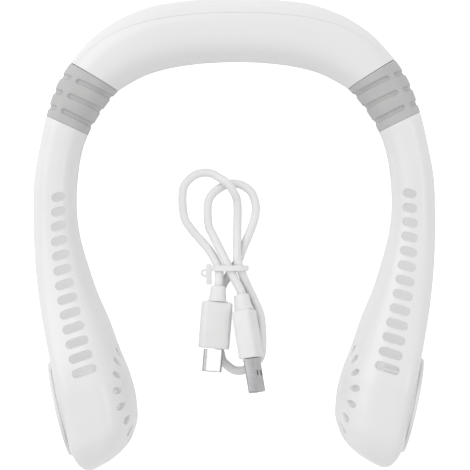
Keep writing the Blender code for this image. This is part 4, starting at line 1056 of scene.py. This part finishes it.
def intake_cutters(skin, side):
    inward = pod_frame(side) @ Matrix.Translation((0, 0, -POD_HEIGHT)) @ Matrix.Rotation(math.pi, 4, "X")
    first = side * math.radians(INTAKE_TURN_DEG)
    cutters = []
    for k in range(INTAKE_HOLES):
        turn = Matrix.Rotation(math.tau * k / INTAKE_HOLES - first, 4, "Z")
        place = inward @ turn @ Matrix.Translation((INTAKE_RING_RADIUS, 0, 0))
        cutters.append(surface_cutter(skin, place, drop_outline, INTAKE_RIM_SHARE))
    return cutters


# %% [markdown]
# The outer half of the arm is plain but for the round collar that holds the cover. It is joined on
# as a short pipe, and its mouth is then bored through the wall.

# %% The arms' halves
COVER_RADIUS = 0.0196
COLLAR_RADIUS = COVER_RADIUS - 0.0002
COLLAR_WALL = 0.0021
COLLAR_DEPTH = 0.0050
OVERRUN = 0.001
TIP_EASING = 1.35


def arm_places(end, count):
    """Places along the arm, closer together towards its tip."""
    shares = np.linspace(0, 1, count)
    return ARM_START + (end - ARM_START) * (1 - (1 - shares) ** TIP_EASING)


def arm_half(name, side, half, count, stations=150):
    rows = [
        [half_row(t, side, inset, half, count) for t in arm_places(end, stations)]
        for inset, end in ((0, ARM_END), (WALL, CAVITY_END))
    ]
    build = half_wall(*rows, blind_end=True, inside=1)
    bevel_edges(build, SEAM_ROUNDING)
    piece = add_piece(
        f"arm_{half}_half_{name}", build, FAN_WHITE, f"arm_{name}", f"arm_{half}_shell_{name}"
    )
    # the inner skin takes the painted glow, which lightens the shade inside the arm
    piece.data.materials.append(PAINTED_GLOW_WHITE)
    return piece


def arm_halves(name, side):
    inner = arm_half(name, side, "inner", 88)
    skin = Skin(inner.data)
    for cutter in slot_cutters(skin, side):
        boolean(inner, [cutter], "DIFFERENCE")
    boolean(inner, intake_cutters(skin, side), "DIFFERENCE")
    keep_smooth(inner, skin)

    outer = arm_half(name, side, "outer", 56)
    skin = Skin(outer.data)
    pod = pod_frame(side)
    collar = prism(circle(COLLAR_RADIUS), -COLLAR_DEPTH, 0)
    mouth = prism(circle(COLLAR_RADIUS - COLLAR_WALL), -COLLAR_DEPTH - OVERRUN, OVERRUN)
    boolean(outer, [moved(collar, pod)], "UNION")
    boolean(outer, [moved(mouth, pod)], "DIFFERENCE")
    keep_smooth(outer, skin)
    return inner, outer


ARMS = {name: arm_halves(name, side) for name, side in SIDES.items()}
print("arm faces:", {name: [len(piece.data.polygons) for piece in halves] for name, halves in ARMS.items()})

# %% [markdown]
# A round cover closes each pod. It is a shallow dome on a short rim, with air slots like the rays
# of a sun. It is turned from one profile whose corners are arcs, and the slots are cut with the
# same rounded cutters as those in the arms.

# %% The intake covers
COVER_RIM = 0.0013
COVER_CROWN = 0.0009
SEAT_GAP = 0.00008
COVER_WALL = 0.0014
COVER_SLOTS = 15
COVER_SLOT_WIDTH = 0.0016
COVER_SLOT_RADII = (0.0080, 0.0150)
SKIRT_WALL = 0.0012
SKIRT_DEPTH = 0.0016
COVER_EDGE = 0.0006
COVER_LOWER_EDGE = 0.0002
COVER_RIM_SHARE = 0.5


def cover_profile():
    """The cover's section, from the middle of its underside round to the middle of its crown."""
    rim = CLEARANCE + COVER_RIM
    skirt_outer = COLLAR_RADIUS - COLLAR_WALL - CLEARANCE
    skirt_inner = skirt_outer - SKIRT_WALL
    top = rim + COVER_CROWN

    def crown(share):
        return (COVER_RADIUS * share, rim + COVER_CROWN * (1 - share**2))

    edge_share = 1 - COVER_EDGE / COVER_RADIUS
    arc_radius, arc_level = COVER_RADIUS - COVER_EDGE, crown(edge_share)[1] - COVER_EDGE
    shoulder = [
        (arc_radius + COVER_EDGE * math.cos(a), arc_level + COVER_EDGE * math.sin(a))
        for a in np.linspace(0, math.pi / 2, 7)
    ]
    dome = [crown(share) for share in np.linspace(edge_share, 0, 16)][1:-1]
    under = [
        (skirt_inner * share, top - COVER_WALL - COVER_CROWN * (skirt_inner * share / COVER_RADIUS) ** 2)
        for share in np.linspace(0, 1, 10)
    ]
    return [
        *under, (skirt_inner, CLEARANCE - SKIRT_DEPTH), (skirt_outer, CLEARANCE - SKIRT_DEPTH),
        (skirt_outer, SEAT_GAP), (COVER_RADIUS - COVER_LOWER_EDGE, SEAT_GAP),
        (COVER_RADIUS, SEAT_GAP + COVER_LOWER_EDGE), *shoulder, *dome, (0, top),
    ]


def intake_cover(name, side):
    pod = pod_frame(side)
    cover = add_piece(f"cover_{name}", turned(cover_profile(), 180), FAN_WHITE, f"arm_{name}",
                      f"intake_cover_{name}", place=pod)
    skin = Skin(cover.data)
    near, far = COVER_SLOT_RADII
    cutters = []
    for k in range(COVER_SLOTS):
        turn = Matrix.Rotation(math.tau * k / COVER_SLOTS, 4, "Z")
        place = pod @ turn @ Matrix.Translation(((near + far) / 2, 0, 0))
        cutters.append(surface_cutter(
            skin, place, lambda out: stadium(far - near + 2 * out, COVER_SLOT_WIDTH + 2 * out, 8),
            COVER_RIM_SHARE,
        ))
    boolean(cover, cutters, "DIFFERENCE")
    keep_smooth(cover, skin)
    return cover


COVERS = {name: intake_cover(name, side) for name, side in SIDES.items()}
print("cover faces:", {name: len(piece.data.polygons) for name, piece in COVERS.items()})

# %% [markdown]
# Between band and arm sits a soft sleeve that lets the hinge inside it bend. Three grooves with
# round ends run over it from the inner side, and three short ones come round from the outer side,
# with a smooth ridge between them. The grooves are pressed into the slices: how deep a point goes
# follows from how far it is from the middle line of the nearest groove.

# %% The ribbed sleeves
SLEEVE_WALL = 0.0024
GROOVE_DEPTH = 0.00085
GROOVE_WIDTH = 0.0022
GROOVE_PITCH = 0.0067
GROOVE_SOFTNESS = 0.0003
GROOVE_LEAN = 0.0008
SIDE_EASING = 0.45
RIB_ROUNDING = 0.00016
RIDGE_SHARE = 0.39
RIDGE_HALF_WIDTH = 0.0012
BAND_SIDE_GAP = 0.00018
ARM_SIDE_GAP = 0.00006
SLEEVE_EDGE_LENGTH = 0.0003
SLEEVE_EDGE_DEPTH = 0.0002


def groove_depths(along, angles, arcs, ridge_arc, whole_arc, length):
    """How deep each point of a slice goes, from its place along the sleeve and round it."""
    from_middle = along - length / 2 - GROOVE_LEAN * np.maximum(np.cos(angles), 0)
    nearest = np.min([np.abs(from_middle - k * GROOVE_PITCH) for k in (-1, 0, 1)], axis=0)
    from_ridge = np.minimum(np.abs(arcs - ridge_arc), np.abs(whole_arc - arcs - ridge_arc))
    past_end = np.maximum(RIDGE_HALF_WIDTH + GROOVE_WIDTH / 2 - from_ridge, 0)
    distance = np.hypot(nearest, past_end)
    share = np.clip((GROOVE_WIDTH / 2 - distance) / GROOVE_SOFTNESS, 0, 1)
    rounding = np.clip(1 - 2 * distance / GROOVE_PITCH, 0, 1) ** 2
    depths = GROOVE_DEPTH * share * share * (3 - 2 * share) + RIB_ROUNDING * rounding
    return depths * (1 - SIDE_EASING * np.cos(angles) ** 4)


def ring_arcs(points):
    """How far each point of a closed ring is along it, and the whole way round."""
    steps = np.linalg.norm(np.roll(points, -1, axis=0) - points, axis=1)
    return np.concatenate(([0], np.cumsum(steps)[:-1])), steps.sum()


def spine(place, side):
    cut = slice_at(place, side)
    middle = (cut[0] + cut[1]) / 2
    middle[2] = (cut[3] + max(cut[2], 0)) / 2
    return middle


def flex_sleeve(name, side, count=180, stations=120):
    # The table's row here is measured over its middle fifth
    row_length = np.linalg.norm(spine(BAND_END + 0.6, side) - spine(BAND_END + 0.4, side)) / 0.2
    first, last = BAND_END + BAND_SIDE_GAP / row_length, ARM_START - ARM_SIDE_GAP / row_length
    length = np.linalg.norm(spine(last, side) - spine(first, side))
    angles = np.linspace(0, math.tau, count, endpoint=False)
    outer_rings, inner_rings = [], []
    for share in np.linspace(0, 1, stations):
        cut = slice_at(first + (last - first) * share, side)
        smooth = slice_points(cut, angles, 0)
        arcs, whole = ring_arcs(smooth)
        ridge = np.interp(RIDGE_SHARE * math.pi, angles, arcs)
        along = length * share
        depths = groove_depths(along, angles, arcs, ridge, whole, length)
        rim = max(0, 1 - min(along, length - along) / SLEEVE_EDGE_LENGTH) ** 2 * SLEEVE_EDGE_DEPTH
        outer_rings.append(slice_points(cut, angles, depths + rim))
        inner_rings.append(slice_points(cut, angles, SLEEVE_WALL))
    build = loft([*outer_rings, *inner_rings[::-1]], closed=True)
    sleeve = add_piece(f"sleeve_{name}", build, SLEEVE_GREY, None)
    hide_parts(f"flex_sleeve_{name}")
    start, end = (Vector(spine(place, side)) for place in (first, last))
    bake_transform(sleeve)
    return sleeve


SLEEVES = {name: flex_sleeve(name, side) for name, side in SIDES.items()}
print("sleeve faces:", {name: len(piece.data.polygons) for name, piece in SLEEVES.items()})

# %% [markdown]
# The power button is a long grey key at the back of the band. One loft makes the stem that reaches
# the switch, the flange that keeps the key from falling out and the key with its rounded edge.

# %% The power button
BUTTON_FLANGE = 0.0010
FLANGE_GAP = 0.0014
STEM_RADIUS = 0.0016
KEY_ROUNDING = 0.0006


def power_button():
    place = back_frame(BUTTON_LIFT)
    solid_low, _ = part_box("power_button")
    stem_end = float(solid_low[1]) - BACK_Y
    flange_top = -WALL - FLANGE_GAP
    flange_low = flange_top - BUTTON_FLANGE
    rings = [
        (2 * STEM_RADIUS, 2 * STEM_RADIUS, stem_end), (2 * STEM_RADIUS, 2 * STEM_RADIUS, flange_low),
        (BUTTON_WIDTH + 2 * BUTTON_FLANGE, BUTTON_HEIGHT + 2 * BUTTON_FLANGE, flange_low),
        (BUTTON_WIDTH + 2 * BUTTON_FLANGE, BUTTON_HEIGHT + 2 * BUTTON_FLANGE, flange_top),
        (BUTTON_WIDTH, BUTTON_HEIGHT, flange_top),
    ]
    for angle in np.linspace(0, math.pi / 2, 7):
        inset = KEY_ROUNDING * (1 - math.cos(angle))
        level = BUTTON_PROUD - KEY_ROUNDING * (1 - math.sin(angle))
        rings.append((BUTTON_WIDTH - 2 * inset, BUTTON_HEIGHT - 2 * inset, level))
    build = loft([at_level(stadium(length, width), level) for length, width, level in rings])
    return add_piece("power_key", build, BUTTON_GREY, "power_button", "power_button", place=place)


POWER_KEY = power_button()
print("button faces:", len(POWER_KEY.data.polygons))

# %% [markdown]
# Both plugs have a soft housing that runs out into a tapered boot round the cord, and a metal
# shell. The housing is a loft of rounded rectangles whose ends are drawn in along a quarter circle,
# as an injection mould makes them.

# %% The plugs' housings
BOOT_LENGTH = 0.0066
BOOT_RADIUS = 0.0038
BOOT_TIP_RADIUS = 0.0030
USB_A_HOUSING = (0.0140, 0.0080, 0.0200)
USB_C_HOUSING = (0.0128, 0.0062, 0.0194)
HOUSING_CORNER = 0.0022
HOUSING_ROUNDING = 0.0011
FRONT_ROUNDING = 0.0006
BOOT_LIP = 0.0002
BOOT_NECK = 0.0004


def plug_housing(title, place, size):
    width, depth, length = size
    start, end = BOOT_LENGTH, BOOT_LENGTH + length
    corner = min(HOUSING_CORNER, depth / 2 - CLEARANCE)
    hole = CORD_DIAMETER / 2 + 2 * CLEARANCE
    rings = [(2 * hole, 2 * hole, hole, BOOT_RECESS), (2 * hole, 2 * hole, hole, 0.0)]
    lip = 2 * BOOT_TIP_RADIUS
    inner_lip = lip - 2 * BOOT_LIP
    rings += [(inner_lip, inner_lip, lip / 2 - BOOT_LIP, 0.0), (lip, lip, lip / 2, BOOT_LIP)]
    for share in np.linspace(0.2, 1, 5):
        radius = BOOT_TIP_RADIUS + (BOOT_RADIUS - BOOT_TIP_RADIUS) * share
        rings.append((2 * radius, 2 * radius, radius, (start - BOOT_NECK) * share))
    for angle in np.linspace(0, math.pi / 2, 7):
        inset = HOUSING_ROUNDING * (1 - math.sin(angle))
        level = start + HOUSING_ROUNDING * (1 - math.cos(angle))
        rings.append((width - 2 * inset, depth - 2 * inset, corner - inset / 2, level))
    for angle in np.linspace(0, math.pi / 2, 6):
        inset = FRONT_ROUNDING * (1 - math.cos(angle))
        level = end - FRONT_ROUNDING * (1 - math.sin(angle))
        rings.append((width - 2 * inset, depth - 2 * inset, corner - inset / 2, level))
    outlines = [at_level(rounded_rectangle(w, h, min(c, w / 2, h / 2), 10), z) for w, h, c, z in rings]
    build = loft(outlines)
    return add_piece(f"{title}_overmould", build, SHEATH_WHITE, "charging_lead", f"{title}_housing",
                     place=plug_frame(place))


USB_C_OVERMOULD = plug_housing("usb_c", USB_C_PLACE, USB_C_HOUSING)
USB_A_OVERMOULD = plug_housing("usb_a", USB_A_PLACE, USB_A_HOUSING)
print("overmoulds:", USB_C_OVERMOULD.name, USB_A_OVERMOULD.name)

# %% [markdown]
# The metal shells are hollow, with walls of 0.3 to 0.4 mm. The wide plug's shell is folded from
# sheet and has two square latch holes in each wide face; inside it is a tongue with four contacts.
# The small plug's shell is drawn in one piece, with round sides and a thin blade inside.

# %% The plugs' shells
USB_A_SHELL = (0.0120, 0.0045, 0.0140)
USB_A_WALL = 0.0004
USB_C_SHELL = (0.0084, 0.0026, 0.0094)
USB_C_WALL = 0.0003
USB_A_CORNER = 0.0006
USB_C_CORNER = USB_C_SHELL[1] / 2 - 0.0001
SMALLEST_CORNER = 0.0001
LIP_SHARE = 0.35             # of the wall
LIP_EDGE_SHARE = 0.3         # of the lip
CAN_FLOOR = 0.001
LATCH_HOLE = 0.0022
LATCH_CORNER = 0.0002
LATCH_REACH = 0.0008
LATCH_PLACE_SHARE = 0.44


def metal_shell(title, metal, place, size, wall, corner, low):
    """A tube with a bottom, its mouth at the far end, with rounded lips."""
    width, depth, length = size
    lip = wall * LIP_SHARE
    edge = lip * LIP_EDGE_SHARE
    end = low + length
    rings = [
        (0, low), (0, end - 2 * wall), (0, end - lip), (edge, end - edge), (lip, end), (wall - lip, end),
        (wall - edge, end - edge), (wall, end - lip), (wall, low + CAN_FLOOR),
    ]
    outlines = [
        at_level(rounded_rectangle(
            width - 2 * inset, depth - 2 * inset, max(corner - inset, SMALLEST_CORNER), 8
        ), z)
        for inset, z in rings
    ]
    return add_piece(f"{title}_can", loft(outlines), metal, "charging_lead", f"{title}_shell",
                     place=plug_frame(place))


def usb_a_front():
    low = BOOT_LENGTH + USB_A_HOUSING[2] + CLEARANCE
    can = metal_shell("usb_a", PAINTED_DARK_STEEL, USB_A_PLACE, USB_A_SHELL, USB_A_WALL, USB_A_CORNER, low)
    width, depth, length = USB_A_SHELL
    place = plug_frame(USB_A_PLACE)
    turn = Matrix.Rotation(math.pi / 2, 4, "X")
    square = rounded_rectangle(LATCH_HOLE, LATCH_HOLE, LATCH_CORNER, 3)
    holes = []
    for x in (-width / 4, width / 4):
        for y in (-depth / 2, depth / 2):
            middle = Matrix.Translation((x, y, low + length * LATCH_PLACE_SHARE))
            holes.append(moved(prism(square, -LATCH_REACH, LATCH_REACH), place @ middle @ turn))
    boolean(can, holes, "DIFFERENCE")
    return can, low


USB_A_CAN, USB_A_LOW = usb_a_front()
USB_C_LOW = BOOT_LENGTH + USB_C_HOUSING[2] + CLEARANCE
USB_C_CAN = metal_shell(
    "usb_c", PLATED_STEEL, USB_C_PLACE, USB_C_SHELL, USB_C_WALL, USB_C_CORNER, USB_C_LOW
)
print("shells:", USB_A_CAN.name, USB_C_CAN.name)

# %% [markdown]
# The wide plug's tongue is a white insert with four long gold-plated contacts. The small plug has
# a thin dark blade with rows of short ones on both faces. They are small boxes with bevelled edges.

# %% Tongue, blade and contacts
USB_A_TONGUE = (0.0108, 0.0018, 0.0110)
BLADE = (0.0062, 0.0006, 0.0076)
TONGUE_BEVEL = 0.0002
CONTACT = (0.0011, 0.0002, USB_A_TONGUE[2] * 0.8)
CONTACT_PITCH = USB_A_TONGUE[0] / 4.4
CONTACT_PROUD = 0.00004
CONTACT_BEVEL = 0.00004
PIN = (0.0003, 0.00006, BLADE[2] * 0.5)
PIN_PITCH = BLADE[0] / 11
PIN_BEVEL = 0.00001


def small_block(size, place, width=0.00008):
    """A block of this size with its middle at the place and narrow bevels, as a bmesh."""
    x, y, z = (v / 2 for v in size)
    build = prism([(-x, -y), (x, -y), (x, y), (-x, y)], -z, z)
    bevel_edges(build, width)
    return moved(build, place)


def plug_insides():
    _, depth, length = USB_A_TONGUE
    place = plug_frame(USB_A_PLACE)
    lift = USB_A_SHELL[1] / 2 - USB_A_WALL - CLEARANCE - depth / 2
    base = USB_A_LOW + CAN_FLOOR + CLEARANCE
    middle = Matrix.Translation((0, lift, base + length / 2))
    block = small_block(USB_A_TONGUE, place @ middle, TONGUE_BEVEL)
    tongue = add_piece("usb_a_insert", block, INSERT_WHITE, "charging_lead", "usb_a_tongue")
    face = lift - depth / 2 - CONTACT_PROUD
    strips = [
        small_block(CONTACT, place @ Matrix.Translation((x, face, base + length * 0.52)), CONTACT_BEVEL)
        for x in (k * CONTACT_PITCH for k in (-1.5, -0.5, 0.5, 1.5))
    ]
    contacts = add_piece("usb_a_contacts", joined(strips), CONTACT_GOLD, "charging_lead")
    place = plug_frame(USB_C_PLACE)
    base = USB_C_LOW + CAN_FLOOR
    block = small_block(BLADE, place @ Matrix.Translation((0, 0, base + BLADE[2] / 2)))
    blade = add_piece("usb_c_blade", block, INSERT_BLACK, "charging_lead")
    strips = [
        small_block(PIN, place @ Matrix.Translation((x, y, base + BLADE[2] * 0.62)), PIN_BEVEL)
        for x in ((k - 4.5) * PIN_PITCH for k in range(10)) for y in (-BLADE[1] / 2, BLADE[1] / 2)
    ]
    pins = add_piece("usb_c_contacts", joined(strips), CONTACT_GOLD, "charging_lead")
    return tongue, contacts, blade, pins


INSIDES = plug_insides()
print("inside the plugs:", ", ".join(piece.name for piece in INSIDES))

# %% [markdown]
# The tie is a soft strap that goes round the four strands, with a flat tail and a small ring at
# its left end. Its section is the outline that a string would take round the strands.

# %% The tie
TIE_Y = -0.01545
TIE_WIDTH = 0.0024
TIE_THICKNESS = 0.0008
TIE_TAIL_LENGTH = 0.0088
TIE_TAIL_START = 0.0020
TIE_RING_RADIUS = 0.0018
TIE_HOLE_RADIUS = 0.0006
TIE_ROUNDING_SHARE = 0.35
TAIL_BEVEL = 0.0002
STRAND_MARGIN = 0.001


def outline_round(points):
    """The outline that a string would take round the points."""
    ordered = sorted(set(points))

    def turn(a, b, c):
        return (b[0] - a[0]) * (c[1] - a[1]) - (b[1] - a[1]) * (c[0] - a[0])

    halves = []
    for run in (ordered, ordered[::-1]):
        half = []
        for point in run:
            while len(half) > 1 and turn(half[-2], half[-1], point) <= 0:
                half.pop()
            half.append(point)
        halves.append(half[:-1])
    return halves[0] + halves[1]


def strap_line(margin, count=96, sides=40):
    """Evenly spaced points round the strands at this distance from them, in X and Z."""
    near = TIE_WIDTH / 2 + STRAND_MARGIN
    spots = [
        (point.x + x, point.z + z)
        for point in CORD_POINTS if abs(point.y - TIE_Y) < near
        for x, z in circle(CORD_DIAMETER / 2 + margin, sides)
    ]
    line = outline_round(spots)
    closed = np.array([(x, 0, z) for x, z in [*line, line[0]]])
    return even_points(closed, count + 1)[:-1]


def strap_ring(out, y):
    """The strap's line moved to a distance from the strands, at a place along Y."""
    line = strap_line(CLEARANCE + TIE_THICKNESS * out)
    line[:, 1] = y
    return [tuple(point) for point in line]


def cord_tie():
    half = TIE_WIDTH / 2
    rounding = TIE_THICKNESS * TIE_ROUNDING_SHARE
    stops = [
        (0.0, -half + rounding), (0.35, -half), (0.65, -half), (1.0, -half + rounding),
        (1.0, half - rounding), (0.65, half), (0.35, half), (0.0, half - rounding),
    ]
    rings = [strap_ring(out, TIE_Y + y) for out, y in stops]
    tie = add_piece("cord_strap", loft(rings, closed=True), SHEATH_WHITE, "charging_lead", "cord_tie")

    outside = strap_line(CLEARANCE + TIE_THICKNESS)
    leftmost = outside[outside[:, 0].argmin()]
    left, height = float(leftmost[0]), float(leftmost[2])
    tail_x = left + TIE_THICKNESS - TIE_WIDTH / 2
    tail_middle = Matrix.Translation((tail_x, TIE_Y - TIE_TAIL_LENGTH / 2 + TIE_TAIL_START, height))
    tail = prism(rounded_rectangle(TIE_WIDTH, TIE_TAIL_LENGTH, TIE_WIDTH / 4), 0, TIE_THICKNESS)
    bevel_edges(tail, TAIL_BEVEL, segments=3)
    half_wire = (TIE_RING_RADIUS - TIE_HOLE_RADIUS) / 2
    bead = [
        (TIE_HOLE_RADIUS + half_wire * (1 + math.cos(a)), TIE_THICKNESS / 2 * (1 + math.sin(a)))
        for a in np.linspace(0, math.tau, 16, endpoint=False)
    ]
    ring_middle = Matrix.Translation((tail_x - TIE_RING_RADIUS, TIE_Y - TIE_RING_RADIUS, height))
    boolean(tie, [moved(tail, tail_middle)], "UNION")
    boolean(tie, [moved(turned(bead, 48), ring_middle)], "UNION")
    return tie


TIE = cord_tie()
print("tie faces:", len(TIE.data.polygons))

# %% [markdown]
# The pieces of the lead all ride on one body, charging_lead.

# %% The cord's name
print("cord declared:", cord.name)

# %% [markdown]
# A catalogue picture is taken on a white sweep in a light tent. A white world gives the soft light
# from all around. A large lamp at the upper left makes each form a little lighter on that side, a
# small one on the right is what the flat steel shell mirrors, and the floor is bright enough to go
# white.

# %% The floor, the world and the lamps
FLOOR_HALF = 1.5
FLOOR_SEEN = (0.95, 0.95, 0.95, 1.0)
FLOOR_GLOW = 0.8
WORLD_STRENGTH = 0.765


def floor_material():
    """A white table for the rays that light the fan from below, which glows for the camera alone."""
    material = bpy.data.materials.new("table_white")
    material.use_nodes = True
    nodes = material.node_tree.nodes
    link = material.node_tree.links.new
    shader = nodes["Principled BSDF"]
    set_values(shader, {"Roughness": 0.9, "Specular IOR Level": 0.1, "Emission Strength": FLOOR_GLOW})
    seen = nodes.new("ShaderNodeLightPath").outputs["Is Camera Ray"]
    link(mixed(nodes, link, seen, WHITE, FLOOR_SEEN), shader.inputs["Base Color"])
    link(seen, shader.inputs["Emission Color"])
    return material


def add_floor():
    build = bmesh.new()
    bmesh.ops.create_grid(build, x_segments=8, y_segments=8, size=FLOOR_HALF)
    floor = add_piece("table", build, floor_material(), None)
    return floor


def add_world(strength):
    world = bpy.data.worlds.new("white_tent")
    world.use_nodes = True
    set_values(world.node_tree.nodes["Background"], {"Color": WHITE, "Strength": strength})
    bpy.context.scene.world = world


def add_lamp(name, place, size, watts, target=(0.0, 0.0, 0.02)):
    """A square area lamp that faces the target."""
    light = bpy.data.lights.new(name, "AREA")
    light.shape = "SQUARE"
    light.size = size
    light.energy = watts
    lamp = add_object(name, light)
    lamp.location = place
    lamp.rotation_euler = (Vector(target) - Vector(place)).to_track_quat("-Z", "Y").to_euler()


add_floor()
add_world(WORLD_STRENGTH)
add_lamp("window_lamp", (-0.8, 0.7, 0.9), 1.3, 6.0)
add_lamp("steel_lamp", (0.59, 0.0, 0.81), 0.3, 0.5)
scene = bpy.context.scene
scene.view_settings.view_transform = "Standard"
scene.view_settings.look = "None"
